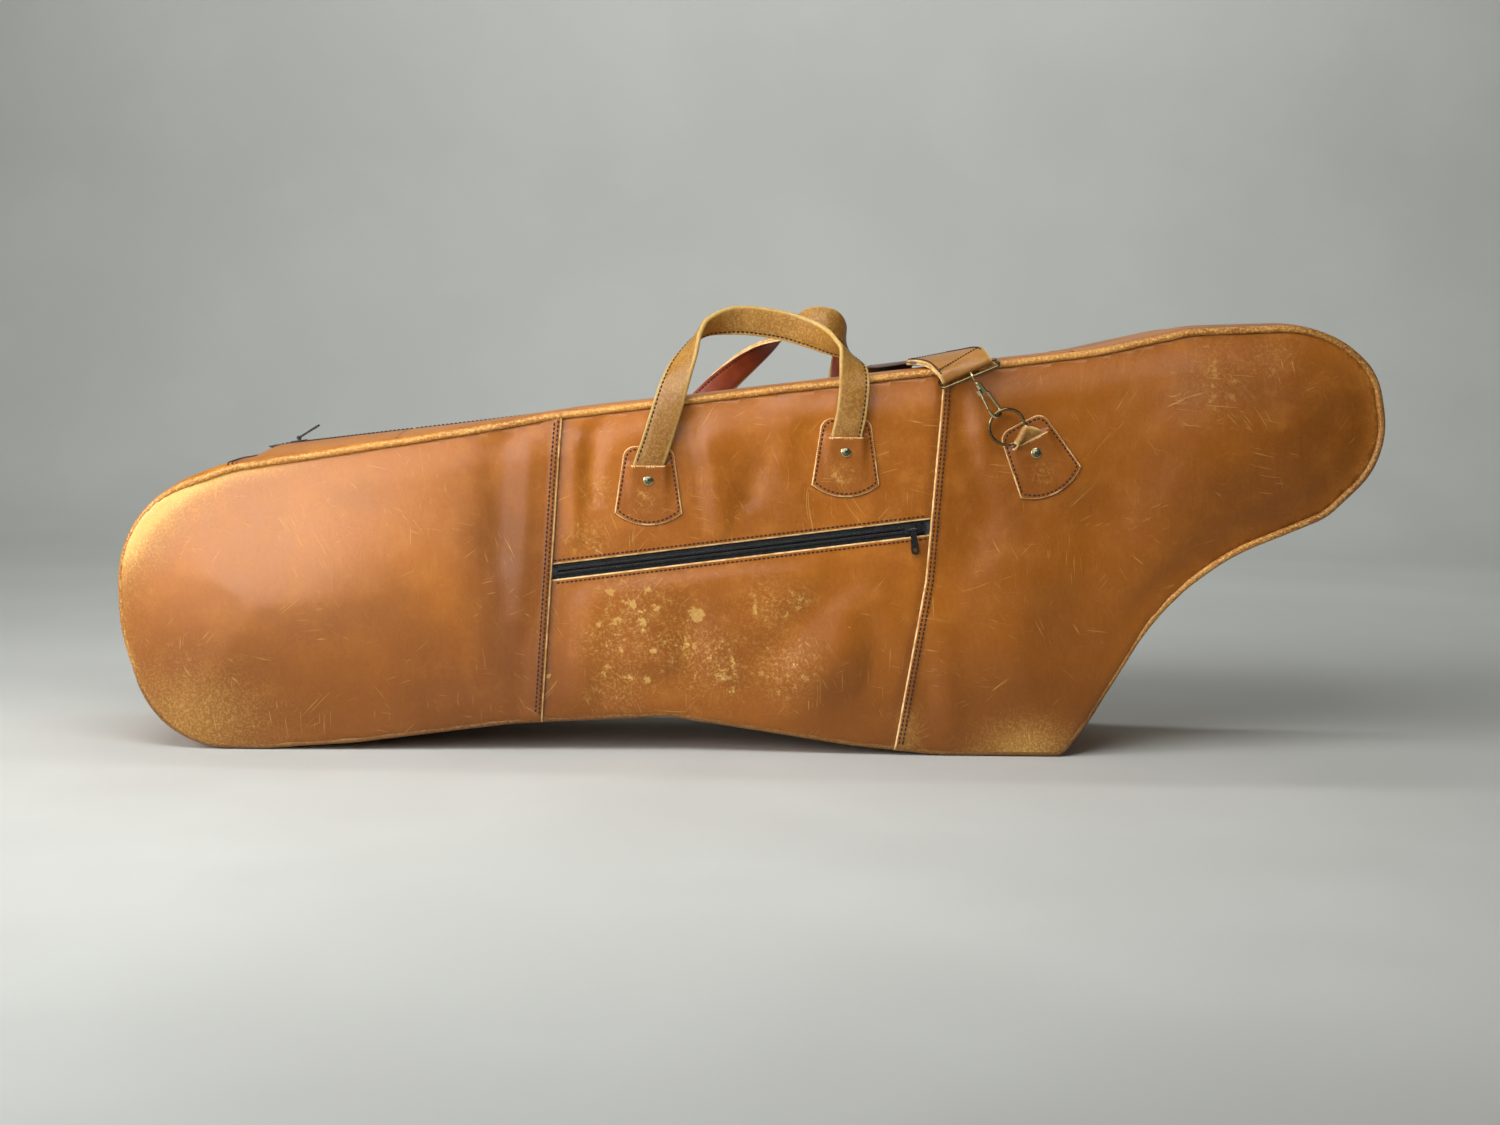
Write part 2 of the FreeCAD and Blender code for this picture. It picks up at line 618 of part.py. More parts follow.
def face_frame(side, origin, up):
    """On a face of the bag: z outwards, y along up. side is -1 for the front and 1 for the rear."""
    point = Vector(origin.x, side * size("half_depth"), origin.z)
    outward = Vector(0, side, 0)
    return frame(point, up.cross(outward), up)


def rivet(name, head_centre, side):
    """A domed cap on the patch; its shank ends in the patch."""
    outward = Vector(0, side, 0)
    radius = size("rivet_radius")
    dome = Part.makeCone(radius, radius * 0.55, 2.0, head_centre, outward)
    shank = Part.makeCylinder(size("shank_radius"), size("patch"), head_centre - outward * size("patch"), outward)
    return feature(name, dome.fuse(shank).removeSplitter())


# Middle points of the carrying handles and the directions from the folded to the sewn edge.
FRONT_HANDLE = [
    ((-95, -118, 271), (-1, 0, 0)), ((-90, -118.3, 285), (-1, 0, 0)), ((-84, -118.6, 304), (-1, 0, 0)),
    ((-77, -118, 327), (-0.98, 0.1, 0.2)), ((-68, -114, 355), (-0.8, 0.5, 0.25)),
    ((-59, -105, 376), (-0.45, 0.85, 0.2)), ((-51, -96, 392), (-0.1, 0.98, -0.1)),
    ((-39, -87, 402), (0.1, 0.85, -0.5)), ((-12, -79, 407), (0, 0.35, -0.93)),
    ((26, -75, 403), (-0.1, 0.3, -0.95)), ((54, -80, 395), (-0.25, 0.45, -0.85)),
    ((74, -92, 386), (-0.2, 0.8, -0.5)), ((87, -105, 378), (0.15, 0.97, -0.1)),
    ((93, -116, 364), (0.75, 0.5, 0.1)), ((94.5, -120.2, 347), (1, 0.03, 0)),
    ((93.5, -119.8, 333), (1, 0, 0)), ((92, -119, 319), (1, 0, 0)), ((88, -118, 299), (1, 0, 0)),
]
REAR_HANDLE = [
    ((-95, 118, 271), (-1, 0, 0)), ((-86, 118.4, 285), (-1, 0, 0)), ((-68, 118.8, 308), (-1, 0, 0)),
    ((-42, 118.6, 336), (-0.9, 0, 0.5)), ((-12, 111, 364), (-0.6, -0.5, 0.6)),
    ((14, 97, 385), (-0.3, -0.8, 0.3)), ((38, 82, 402), (0, -0.8, -0.4)),
    ((60, 70, 412), (0, -0.4, -0.9)), ((79, 70, 410), (-0.5, -0.4, -0.8)),
    ((91, 82, 399), (-0.4, -0.9, -0.3)), ((94.5, 98, 384), (0.3, -0.95, 0)),
    ((94.5, 113, 368), (0.8, -0.5, 0)), ((93, 120.4, 350), (1, -0.03, 0)),
    ((91.5, 120, 334), (1, 0, 0)), ((89, 119, 319), (1, 0, 0)), ((88, 118, 299), (1, 0, 0)),
]


def make_handles():
    rivets = []
    for face_name, side in (("front", -1), ("rear", 1)):
        for place, slot in HANDLE_SLOTS:
            label = f"{face_name}_{place}_handle_patch"
            head = make_patch(label, face_frame(side, slot, Vector(0, 0, 1)), size("handle_width") + 10)
            rivets.append(rivet(f"rivet_{face_name}_{place}", head, side))
    for label, stations in (("front_handle", FRONT_HANDLE), ("rear_handle", REAR_HANDLE)):
        line = smoothed([(Vector(*point), Vector(*across).normalize()) for point, across in stations], 33)
        strap = ribbon(line, size("handle_width"), size("handle_thick"))
        keep(label, feature(label + "_strap", strap))
    return rivets


# ---------------------------------------------------------------- shoulder strap

def strap_end(name, side, slot, patch_up, ring_offset, pull, bar_dir, tab_points, tab_widths):
    """One end of the shoulder strap: patch, loop, ring, snap hook, rectangular ring and leather tab."""
    outward = Vector(0, side, 0)
    head = make_patch(f"{name}_ring_patch", face_frame(side, slot, patch_up), 34.0)
    pieces = {"rivet": rivet(f"rivet_{name}_ring", head, side)}

    ring_radius, ring_wire = size("ring_radius"), size("ring_wire")
    tilt = math.radians(7.8)
    pull = Vector(pull).normalize()
    centre = slot + ring_offset + outward * (size("half_depth") + 9.4 - slot.y * side)
    ring_x = pull * math.cos(tilt) + outward * math.sin(tilt)
    ring_axis = outward * math.cos(tilt) - pull * math.sin(tilt)
    ring = doc.addObject("Part::Torus", name + "_torus")
    ring.setExpression("Radius1", "Dimensions.ring_radius")
    ring.setExpression("Radius2", "Dimensions.ring_wire")
    ring.Placement = frame(centre, ring_x, ring_axis.cross(ring_x))
    keep(f"{name}_ring", ring)

    # Leather loop round the side of the ring next to the slot.
    inward = (slot + outward * (centre.y * side) - centre)
    inward = (inward - ring_axis * inward.dot(ring_axis)).normalize()
    loop_frame = frame(centre + inward * (ring_radius + 0.5), inward, ring_axis.cross(inward))
    loop = Part.makeBox(13, 22, 7.0, Vector(-6.5, -11, -3.5))
    loop = loop.makeFillet(2.4, [e for e in loop.Edges if e.BoundBox.YLength > 20])
    loop.Placement = loop_frame
    room = Part.makeTorus(ring_radius, ring_wire + 0.5, centre, ring_axis)
    pieces["loop"] = feature(name + "_loop", loop.cut(room))

    # Snap hook, in a frame with x from the bar it swivels on towards its jaw.
    wire_point = centre + ring_x * ring_radius
    jaw_x, jaw_y, jaw_radius, hook_wire = 37.0, 2.4, 7.1, 1.8
    hook_dir = (pull * -1 - outward * 0.07).normalize()
    in_plane = hook_dir.cross(outward)
    lateral = (in_plane + outward).normalize()
    hook_frame = frame(Vector(0, 0, 0), hook_dir, lateral)
    wire_local = Vector(jaw_x + 3.2, jaw_y, 0)
    hook_frame.Base = wire_point - hook_frame.Rotation.multVec(wire_local)
    arm_y, tip_y = jaw_y - jaw_radius, jaw_y + jaw_radius
    path = rounded_wire([
        (Vector(15, 0, 0), 0), (Vector(21, arm_y, 0), 4), (Vector(jaw_x + jaw_radius, arm_y, 0), jaw_radius - 0.01),
        (Vector(jaw_x + jaw_radius, tip_y, 0), jaw_radius - 0.01), (Vector(33.5, tip_y, 0), 0)], closed=False)
    barrel = Part.makeCylinder(3.6, 10, Vector(8.5, 0, 0), Vector(1, 0, 0))
    bore = Part.makeCylinder(1.75, 6, Vector(8, 0, 0), Vector(1, 0, 0))
    gate_heel = Part.makeBox(5, 4, 4, Vector(13, 2.0, -2))
    hook = barrel.fuse([sweep(path, hook_wire), gate_heel]).cut(bore)
    keep(f"{name}_hook", feature(name + "_hook_body", hook, hook_frame))
    gate_start, gate_end = Vector(18.6, 5.0, 0), Vector(32.0, tip_y - 0.6, 0)
    gate = Part.makeCylinder(1.3, (gate_end - gate_start).Length, gate_start, gate_end - gate_start)
    keep(f"{name}_gate", feature(name + "_gate_lever", gate, hook_frame))

    # The swivel's eye holds the free bar of the rectangular ring.
    bar_dir = Vector(bar_dir).normalize()
    eye_radius, eye_wire, bar_radius = 4.3, 1.2, 1.6
    eye_centre = hook_frame.Base
    eye_x = (hook_dir - bar_dir * hook_dir.dot(bar_dir)).normalize()
    eye = Part.makeTorus(eye_radius, eye_wire, eye_centre, bar_dir)
    neck_start = eye_centre + eye_x * eye_radius
    neck_end = eye_centre + hook_dir * 13.5
    neck_turn = eye_centre + hook_dir * 7.6
    neck = Part.makeCylinder(1.6, (neck_end - neck_turn).Length, neck_turn, hook_dir)
    knee = Part.makeCylinder(1.2, (neck_turn - neck_start).Length, neck_start, neck_turn - neck_start)
    ball = Part.makeSphere(1.6, neck_turn)
    pieces["swivel"] = feature(name + "_swivel", eye.fuse([neck, knee, ball]))

    fold = tab_points[0]
    ring_half = size("webbing_width") / 2 + 3.0
    corners = [eye_centre - bar_dir * ring_half, eye_centre + bar_dir * ring_half,
               fold + bar_dir * ring_half, fold - bar_dir * ring_half]
    loop_wire = rounded_wire([(corner, 3.0) for corner in corners])
    pieces["strap_ring"] = feature(name + "_strap_ring", sweep(loop_wire, bar_radius))

    stations = list(zip(tab_points, [Vector(*across).normalize() for across in tab_widths]))
    tab = ribbon(stations, size("webbing_width"), size("tab_thick"))
    sleeve = Part.makeCylinder(3.8, size("webbing_width"), fold - bar_dir * size("webbing_width") / 2, bar_dir)
    clearance = Part.makeCylinder(bar_radius + 0.3, 90, fold - bar_dir * 45, bar_dir)
    pieces["tab"] = feature(name + "_tab", tab.fuse(sleeve).cut(clearance))
    return pieces


def strap_fold(start, down, up, radius, steps):
    """Stations round the bottom of the slack strap, which folds over itself and turns up again."""
    axis = (down + up).normalize()
    along, round_it = down.dot(axis), math.sqrt(1 - down.dot(axis) ** 2)
    radial = (down - axis * along).normalize()
    outward = Vector(0, 1, 0)
    stations = []
    for step in range(steps + 1):
        angle = math.pi * step / steps
        point = start + axis * (radius * angle * along / round_it)
        point = point + radial * (radius * math.sin(angle)) + outward * (radius * (1 - math.cos(angle)))
        stations.append((point, axis * -1))
    return stations


def make_shoulder_strap():
    front_tab = [Vector(197.5, -117, 361.5), Vector(193, -116, 370), Vector(186, -102.5, 378),
                 Vector(178, -84, 382), Vector(168, -60, 383)]
    front_widths = [(0.92, 0, 0.39), (0.93, 0.02, 0.36), (0.95, 0.1, 0.29), (0.96, 0.17, 0.22), (0.96, 0.22, 0.18)]
    front = strap_end("front", -1, Vector(258, 0, 298), Vector(-0.469, 0, 0.883), Vector(-22, 0, 12),
                      (-0.613, 0, 0.79), (0.92, 0, 0.39), front_tab, front_widths)

    rise = Vector(-0.933, 0, 0.36)
    rear_slot = Vector(-305, 0, 235)
    tab_start = Vector(-218.5, 121.5, 218.8)
    rear_tab = [tab_start - rise * step + Vector(0, lift, 0) for step, lift in ((0, 0), (8, 0.4), (35, 1.2), (65, 2.0))]
    rear = strap_end("rear", 1, rear_slot, Vector(0.6, 0, 0.8), Vector(23.5, 0, 8.5),
                     rise * -1, (0.36, 0, 0.933), rear_tab, [(0.36, 0, 0.933)] * 4)

    level, slope = Vector(1, 0, 0), Vector(0.992, 0, 0.126)
    drop_y, drop_x = 119.4, 140.0
    stations = [
        (front_tab[-1], Vector(*front_widths[-1])), (Vector(158, -25, 384), Vector(0.97, 0.2, 0.16)),
        (Vector(150, 12, 382), Vector(0.98, 0.12, 0.14)), (Vector(145, 50, 377), slope),
        (Vector(141.5, 86, 371.5), slope), (Vector(140.3, 106.5, 364.5), slope),
        (Vector(drop_x, 116.4, 353), slope), (Vector(drop_x, drop_y, 338), level),
        (Vector(drop_x, drop_y, 230), level), (Vector(drop_x, drop_y, 125), level)]
    fold = strap_fold(Vector(drop_x, drop_y, 97), Vector(0, 0, -1), rise, 8.0, 8)
    stations += fold
    end = rear_tab[-1]
    turned_up = Vector(-0.36, 0, -0.933)
    stations += [(fold[-1][0] * (1 - share) + end * share, turned_up) for share in (0.35, 0.7, 1.0)]
    webbing = ribbon(stations, size("webbing_width") - 1, size("webbing_thick"))
    keep("strap_webbing", feature("webbing", webbing))

    for node, piece in (("ring_loops", "loop"), ("hook_swivels", "swivel"),
                        ("strap_rings", "strap_ring"), ("strap_tabs", "tab")):
        keep(node, combine("Part::Compound", node + "_pair", front[piece], rear[piece]))
    return [front["rivet"], rear["rivet"]]


# ---------------------------------------------------------------- assembly and export

def main():
    regions = face_regions()
    make_panels(regions)
    make_padding_and_lining(make_pocket())
    make_welts()
    make_gusset()
    make_left_crown()
    make_flaps()
    make_main_chain()
    make_sliders()
    make_stops()
    rivets = make_handles() + make_shoulder_strap()
    keep("patch_rivets", combine("Part::Compound", "rivets", *rivets))
    doc.recompute()

    for item in doc.Objects:
        if "Invalid" in item.State or "Error" in item.State:
            raise RuntimeError(f"{item.Name} did not build: {item.State}")
    os.makedirs("parts", exist_ok=True)
    for label, part in subparts.items():
        shape = part.Shape
        if shape.isNull() or not shape.isValid() or not shape.Solids:
            raise RuntimeError(f"{label} has no valid solid")
        shape.exportStep(f"parts/{label}.step")
        box = shape.optimalBoundingBox(False)
        print(f"{label}: {len(shape.Solids)} solids, {shape.Volume / 1000:.1f} cm3, "
              f"x {box.XMin:.1f} {box.XMax:.1f} y {box.YMin:.1f} {box.YMax:.1f} z {box.ZMin:.1f} {box.ZMax:.1f}")


main()
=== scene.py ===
import math

import bmesh
import bpy
import numpy as np
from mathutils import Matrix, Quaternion, Vector, geometry, noise


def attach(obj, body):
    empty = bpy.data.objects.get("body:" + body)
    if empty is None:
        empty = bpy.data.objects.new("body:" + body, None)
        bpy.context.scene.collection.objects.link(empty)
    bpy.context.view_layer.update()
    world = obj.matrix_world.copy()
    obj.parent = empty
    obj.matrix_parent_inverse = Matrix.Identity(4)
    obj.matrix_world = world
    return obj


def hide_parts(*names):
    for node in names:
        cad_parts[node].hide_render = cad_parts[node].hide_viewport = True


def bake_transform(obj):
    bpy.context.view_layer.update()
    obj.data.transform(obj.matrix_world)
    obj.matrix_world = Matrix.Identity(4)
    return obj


# A soft leather gig bag. Tables and helpers work in millimetres, in the frame of the CAD model:
# +X to the neck end, -Y the face with the pocket, +Z up. Meshes are made in metres.

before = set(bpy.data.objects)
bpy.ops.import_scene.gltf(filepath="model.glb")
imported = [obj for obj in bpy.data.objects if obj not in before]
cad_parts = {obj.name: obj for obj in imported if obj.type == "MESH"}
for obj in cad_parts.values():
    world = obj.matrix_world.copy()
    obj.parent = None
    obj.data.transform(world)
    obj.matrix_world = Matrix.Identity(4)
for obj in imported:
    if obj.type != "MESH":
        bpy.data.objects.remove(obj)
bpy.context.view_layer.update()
MM = 0.001
UP = Vector((0, 0, 1))
SIDES = (("front", -1), ("rear", 1))

# ---------------------------------------------------------------- driving dimensions

HALF_DEPTH = 112.0
LEATHER = 1.6
PANEL_INSET = 5.6
WELT_INSET, WELT_Y, WELT_RADIUS = 4.0, 106.9, 3.3
GUSSET_EDGE = 104.4
SHOULDER = 16.6
ZIP_OPENING = 7.0
CUT_EDGE = 1.05
LINING_Y = 99.6
QUILT_PITCH = 62.0
STITCH_PITCH, STITCH_LENGTH, THREAD = 4.2, 3.2, 0.8
# Along a stitch: share of its length, share of its thickness and rise.
STITCH_PROFILE = [(0.0, 0.45, -0.3), (0.16, 0.95, 0.06), (0.5, 1.05, 0.2), (0.84, 0.95, 0.06), (1.0, 0.45, -0.3)]
PANEL_GRID = 5.0
CHAIN_PITCH = 1.7
SEWN_Y, HANGING_Y = 106.6, 107.6
BELL_BULGE, NECK_BULGE, HEEL_BULGE, BELLY_BULGE = 23.0, 12.0, 6.0, 6.0
FOAM_BACK_Y, FOAM_FRONT_Y, LINING_BACK_Y = 100.6, 107.2, 100.3
SEAM_STITCHES, ZIP_STITCHES, CREST_STITCHES = (3.4, 7.0), 3.6, 2.2
HANDLE_WIDTH, HANDLE_SEAM, TAB_WIDTH, WEBBING_WIDTH = 28.0, 11.0, 50.0, 49.0
HANDLE_SLOTS = (("left", (-95, 271)), ("right", (88, 299)))
WIRE_FROM_CENTRE, LOOP_BEND, TAB_BEND = 16.5, 2.9, 3.1

# Corners of the side view, clockwise from the heel of the bell end: x, z and the radius of the bend.
OUTLINE = [
    (-556, 0, 92), (-591, 112, 164), (-593, 229, 101), (-484, 268.5, 92), (-270, 303.5, 400),
    (-184, 319.5, 395), (315, 382.2, 214), (407, 403, 145), (530, 408.5, 105), (582, 365, 63),
    (596.5, 284, 83), (538, 227, 60), (403.5, 171, 246), (320, 32, 190), (297, 0, 18),
    (178, 0, 300), (100, 7.5, 300), (-75, 34, 85), (-222, 26, 394), (-366, 7, 300), (-455, 0, 300),
]
LEFT_SEAM = [(-171.5, 380), (-196.5, -20)]
RIGHT_SEAM = [(181, 400), (163.6, 166), (131, -30)]
POCKET_ZIP = [(-184.5, 170.4), (165.0, 215.8)]
ZIP_START, ZIP_END = (-443, 285.5), (322, 382.5)
MOUTH = (-330.0, 300.0)
CROWN_START = -482.0
NOSE_SEAM = (487, 168)
HEEL_SEAM = (-393, 0)
ZIP_NOSE_END = (590, 262)


# ---------------------------------------------------------------- outline and distances

def rounded(corners, step=2.5):
    """Points round a closed path of straight runs joined by tangent arcs."""
    count = len(corners)
    points = []
    for i, (corner, radius) in enumerate(corners):
        back = (corners[i - 1][0] - corner).normalized()
        ahead = (corners[(i + 1) % count][0] - corner).normalized()
        half = back.angle(ahead) / 2
        start = corner + back * (radius / math.tan(half))
        end = corner + ahead * (radius / math.tan(half))
        centre = corner + (back + ahead).normalized() * (radius / math.sin(half))
        turn = math.pi - 2 * half
        pieces = max(2, round(radius * turn / step))
        sign = 1 if (start - centre).cross(end - centre) > 0 else -1
        for k in range(pieces + 1):
            angle = sign * turn * k / pieces
            spoke = start - centre
            points.append(centre + Vector((
                spoke.x * math.cos(angle) - spoke.y * math.sin(angle),
                spoke.x * math.sin(angle) + spoke.y * math.cos(angle))))
    return dense(points, step)


def dense(points, step, closed=True):
    """The same path with points added, so that none are further apart than step."""
    result = []
    ends = points[1:] + points[:1] if closed else points[1:]
    for a, b in zip(points, ends):
        pieces = max(1, math.ceil((b - a).length / step))
        if (b - a).length > 0.05:
            result += [a.lerp(b, k / pieces) for k in range(pieces)]
    return result if closed else result + [points[-1]]


def outline(inset, step=2.5):
    """The side view's outline, moved in by inset: points x and z, clockwise."""
    count = len(OUTLINE)
    corners = []
    for i, (x, z, radius) in enumerate(OUTLINE):
        here = Vector((x, z))
        before = (here - Vector(OUTLINE[i - 1][:2])).normalized()
        after = (Vector(OUTLINE[(i + 1) % count][:2]) - here).normalized()
        inward = (Vector((before.y, -before.x)) + Vector((after.y, -after.x))).normalized()
        convex = before.cross(after) < 0
        corner = here + inward * (inset / math.cos(before.angle(after) / 2))
        corners.append((corner, radius - inset if convex else radius + inset))
    return rounded(corners, step)


EDGE = outline(0, 2.0)
EDGE_ARRAY = np.array([tuple(p) for p in EDGE])


def nearest_squared(x, z, others):
    """Squared distance of each point from the nearest of the others, an array of x and z."""
    result = np.empty(len(x))
    for low in range(0, len(x), 2000):
        part = slice(low, low + 2000)
        across = x[part, None] - others[None, :, 0]
        up = z[part, None] - others[None, :, 1]
        result[part] = (across ** 2 + up ** 2).min(axis=1)
    return result


def edge_distance(x, z):
    """Distance of points from the side view's outline."""
    return np.sqrt(nearest_squared(x, z, EDGE_ARRAY))


def top_height(x):
    """Height of the outline's upper side at x."""
    return max(p.y for p in EDGE if abs(p.x - x) < 2.2)


def zip_height(x):
    """Height of the leather beside the straight run of the zip."""
    share = (x - ZIP_START[0]) / (ZIP_END[0] - ZIP_START[0])
    return ZIP_START[1] + share * (ZIP_END[1] - ZIP_START[1]) + 0.5


def smooth(value, low, high):
    """0 below low, 1 above high and a smooth rise between them."""
    t = np.clip((value - low) / (high - low), 0, 1)
    return t * t * (3 - 2 * t)


def hump(x, z, at_x, at_z, wide, high):
    """A round bump of height 1 at a place."""
    return np.exp(-((x - at_x) / wide) ** 2 - ((z - at_z) / high) ** 2)


def xz(points):
    """Arrays of the x and z of flat points."""
    return np.array([p.x for p in points]), np.array([p.y for p in points])


def seam_x(seam, z):
    """x of a seam at heights z; it runs on straight past its ends."""
    heights = [p[1] for p in seam][::-1]
    return np.interp(z, heights, [p[0] for p in seam][::-1])


# ---------------------------------------------------------------- the leather faces

# Soft folds and dents of the front: start, end, half width and depth; positive stands out.
FRONT_FOLDS = [
    ((-146, 300), (-142, 212), 11, -2.6), ((-162, 290), (-163, 205), 8, 1.4),
    ((-40, 285), (-28, 205), 17, 2.2), ((-58, 312), (-66, 250), 13, -2.6),
    ((-66, 250), (-48, 212), 15, -1.6), ((2, 262), (-8, 205), 12, -1.8),
    ((30, 330), (46, 250), 22, 1.4), ((-58, 120), (-52, 52), 18, -2.6),
    ((60, 60), (108, 118), 26, 2.4), ((20, 96), (84, 164), 20, -2.0),
    ((112, 120), (126, 60), 16, -2.4), ((-150, 130), (-158, 60), 16, 1.5),
    ((-205, 290), (-214, 130), 12, 1.6), ((-232, 286), (-236, 190), 16, -1.8),
    ((192, 330), (206, 286), 11, -2.0), ((212, 300), (236, 262), 13, 1.8),
    ((222, 250), (205, 190), 20, -1.6), ((176, 120), (190, 30), 15, 1.4),
    ((360, 250), (300, 130), 40, -2.2), ((-560, 150), (-520, 60), 40, 1.6),
]
PATCH_CENTRES = {
    True: [(-95, 251), (88, 279), (267, 281)],
    False: [(-95, 251), (88, 279), (-317, 219)],
}
REAR_FOLDS = [
    ((-140, 300), (-150, 200), 14, -2.4), ((-20, 300), (-40, 180), 22, 2.2),
    ((60, 280), (40, 150), 18, -2.2), ((-90, 150), (-60, 60), 24, -2.2),
    ((110, 200), (90, 80), 22, 2.0), ((-300, 220), (-240, 120), 30, -1.6),
    ((240, 260), (220, 140), 26, -1.8), ((360, 260), (300, 140), 40, -2.0),
]


def overhang(x, z):
    """1 where the slack face hangs over its welt: round the bell end and along the bottom."""
    end = smooth(-x, 470.0, 560.0) * (1 - smooth(z, 225.0, 268.0))
    low = (1 - smooth(z, 60.0, 120.0)) * (1 - smooth(x, 330.0, 400.0))
    slope = smooth(x, 280.0, 320.0) * (1 - smooth(z - 0.9 * (x - 300.0), 40.0, 130.0))
    slope = slope * (1 - smooth(z, 120.0, 215.0))
    return np.maximum(np.maximum(end, low), slope)


def face_height(x, z, front):
    """How far the face stands from the middle plane."""
    depth = edge_distance(x, z)
    over = overhang(x, z)
    sewn = SEWN_Y + 5.4 * smooth(depth, 3.0, 42.0)
    hanging = HANGING_Y + 3.6 * smooth(depth, 0.4, 7.0) + 0.8 * smooth(depth, 6.0, 30.0)
    height = sewn + (hanging - sewn) * over
    bell = smooth(-x, 205.0, 420.0) * smooth(depth, 10.0, 150.0)
    neck = smooth(x, 310.0, 430.0) * smooth(depth, 14.0, 95.0)
    heel = smooth(x, 150.0, 260.0) * smooth(depth, 14.0, 110.0) * smooth(250.0 - z, 10.0, 90.0)
    height += BELL_BULGE * bell + NECK_BULGE * neck + HEEL_BULGE * heel
    for (x1, z1), (x2, z2), width, rise in FRONT_FOLDS if front else REAR_FOLDS:
        run = np.array([x2 - x1, z2 - z1], float)
        length = np.hypot(*run)
        along = ((x - x1) * run[0] + (z - z1) * run[1]) / length
        across = ((x - x1) * run[1] - (z - z1) * run[0]) / length
        past = np.maximum(0, np.abs(along - length / 2) - length / 2)
        fade = np.exp(-(across / width) ** 2 - (past / (width * 1.3)) ** 2)
        height += 2.0 * rise * fade * smooth(depth, 4.0, 22.0)
    height += BELLY_BULGE * np.exp(-((x + 15) / 130) ** 4 - ((z - 118) / 62) ** 4) * smooth(depth, 20.0, 60.0)
    return settle_at_fittings(x, z, height, front)


def settle_at_fittings(x, z, height, front):
    """Draws a face level where patches are sewn on and beside the pocket zip, which is straight."""
    for fitting_x, fitting_z in PATCH_CENTRES[front]:
        near = 1 - smooth(np.hypot(x - fitting_x, z - fitting_z), 40.0, 62.0)
        height = height + (HALF_DEPTH - 0.1 - height) * near
    if not front:
        return height
    start, end = np.array(POCKET_ZIP[0], float), np.array(POCKET_ZIP[1], float)
    run = (end - start) / np.hypot(*(end - start))
    along = (x - start[0]) * run[0] + (z - start[1]) * run[1]
    across = np.abs((z - start[1]) * run[0] - (x - start[0]) * run[1])
    near = (1 - smooth(across, 8.0, 26.0)) * smooth(along, -14.0, -4.0) * (1 - smooth(along, 352.0, 362.0))
    height = height + (HALF_DEPTH - height) * near
    # Over the pouch, which is a plain sheet, the leather never dips below the sheet.
    pouch = smooth(along, -10.0, 8.0) * (1 - smooth(along, 346.0, 366.0)) * smooth(z, 36.0, 50.0)
    pouch = pouch * (1 - smooth(z, 226.0, 240.0))
    over = height - HALF_DEPTH - 0.06
    return height + (0.5 * (over + np.sqrt(over ** 2 + 0.25)) - over - 0.25) * pouch * (over < 2)


def lap(distance):
    """Rise of a side panel, whose cut edge lies over the middle panel, and its sewn ridge."""
    ridge = 0.5 * np.exp(-((distance - 4.9) / 1.2) ** 2) + 0.3 * np.exp(-((distance - 1.6) / 0.8) ** 2)
    cut = -0.5 * (1 - smooth(distance, 0.0, 1.4))
    return 1.8 * (1 - smooth(distance, 7.0, 22.0)) + ridge + cut - 0.5 * np.exp(-((distance - 10.0) / 1.8) ** 2)


def left_height(x, z, front):
    """The left panel laps over the middle one."""
    return face_height(x, z, front) + lap(np.maximum(0, seam_x(LEFT_SEAM, z) - x))


def right_height(x, z, front):
    """The right panel laps over the middle one."""
    return face_height(x, z, front) + lap(np.maximum(0, x - seam_x(RIGHT_SEAM, z)))


def middle_height(x, z, front):
    """The middle panels dip under the side panels."""
    beside = np.minimum(x - seam_x(LEFT_SEAM, z), seam_x(RIGHT_SEAM, z) - x)
    return face_height(x, z, front) - 0.9 * (1 - smooth(beside, -1.0, 7.0))


# ---------------------------------------------------------------- mesh helpers

def make_object(name, vertices, faces, materials, indices=None, body="root"):
    """A smooth mesh object from millimetre points, riding on a body."""
    mesh = bpy.data.meshes.new(name)
    mesh.from_pydata([Vector(v) * MM for v in vertices], [], faces)
    for material in materials:
        mesh.materials.append(material)
    if indices is not None:
        mesh.polygons.foreach_set("material_index", indices)
    mesh.polygons.foreach_set("use_smooth", [True] * len(mesh.polygons))
    mesh.update()
    piece = bpy.data.objects.new(name, mesh)
    bpy.context.scene.collection.objects.link(piece)
    if body:
        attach(piece, body)
    return piece


def tidy_normals(piece):
    """Turns every face outwards."""
    work = bmesh.new()
    work.from_mesh(piece.data)
    bmesh.ops.recalc_face_normals(work, faces=work.faces)
    work.to_mesh(piece.data)
    work.free()
    return piece


def set_attribute(piece, name, values):
    """Gives each vertex a number that the materials read."""
    attribute = piece.data.attributes.new(name, "FLOAT", "POINT")
    attribute.data.foreach_set("value", np.asarray(values, np.float32))


def inside(points, polygon):
    """Which of the points, an array of x and z, are inside a polygon."""
    result = np.zeros(len(points), bool)
    loop = np.array([tuple(p) for p in polygon])
    for a, b in zip(loop, np.roll(loop, -1, axis=0)):
        if a[1] == b[1]:
            continue
        crosses = (points[:, 1] < a[1]) != (points[:, 1] < b[1])
        at = a[0] + (points[:, 1] - a[1]) * (b[0] - a[0]) / (b[1] - a[1])
        result ^= crosses & (points[:, 0] < at)
    return result


def clip(polygon, a, b):
    """The part of a polygon to the left of the line from a to b."""
    a, b = Vector(a), Vector(b)
    run = (b - a).normalized()
    result = []
    sides = [run.cross(p - a) for p in polygon]
    for i, here in enumerate(polygon):
        last, before, now = polygon[i - 1], sides[i - 1], sides[i]
        if (before >= 0) != (now >= 0):
            result.append(last.lerp(here, before / (before - now)))
        if now >= 0:
            result.append(here)
    return result


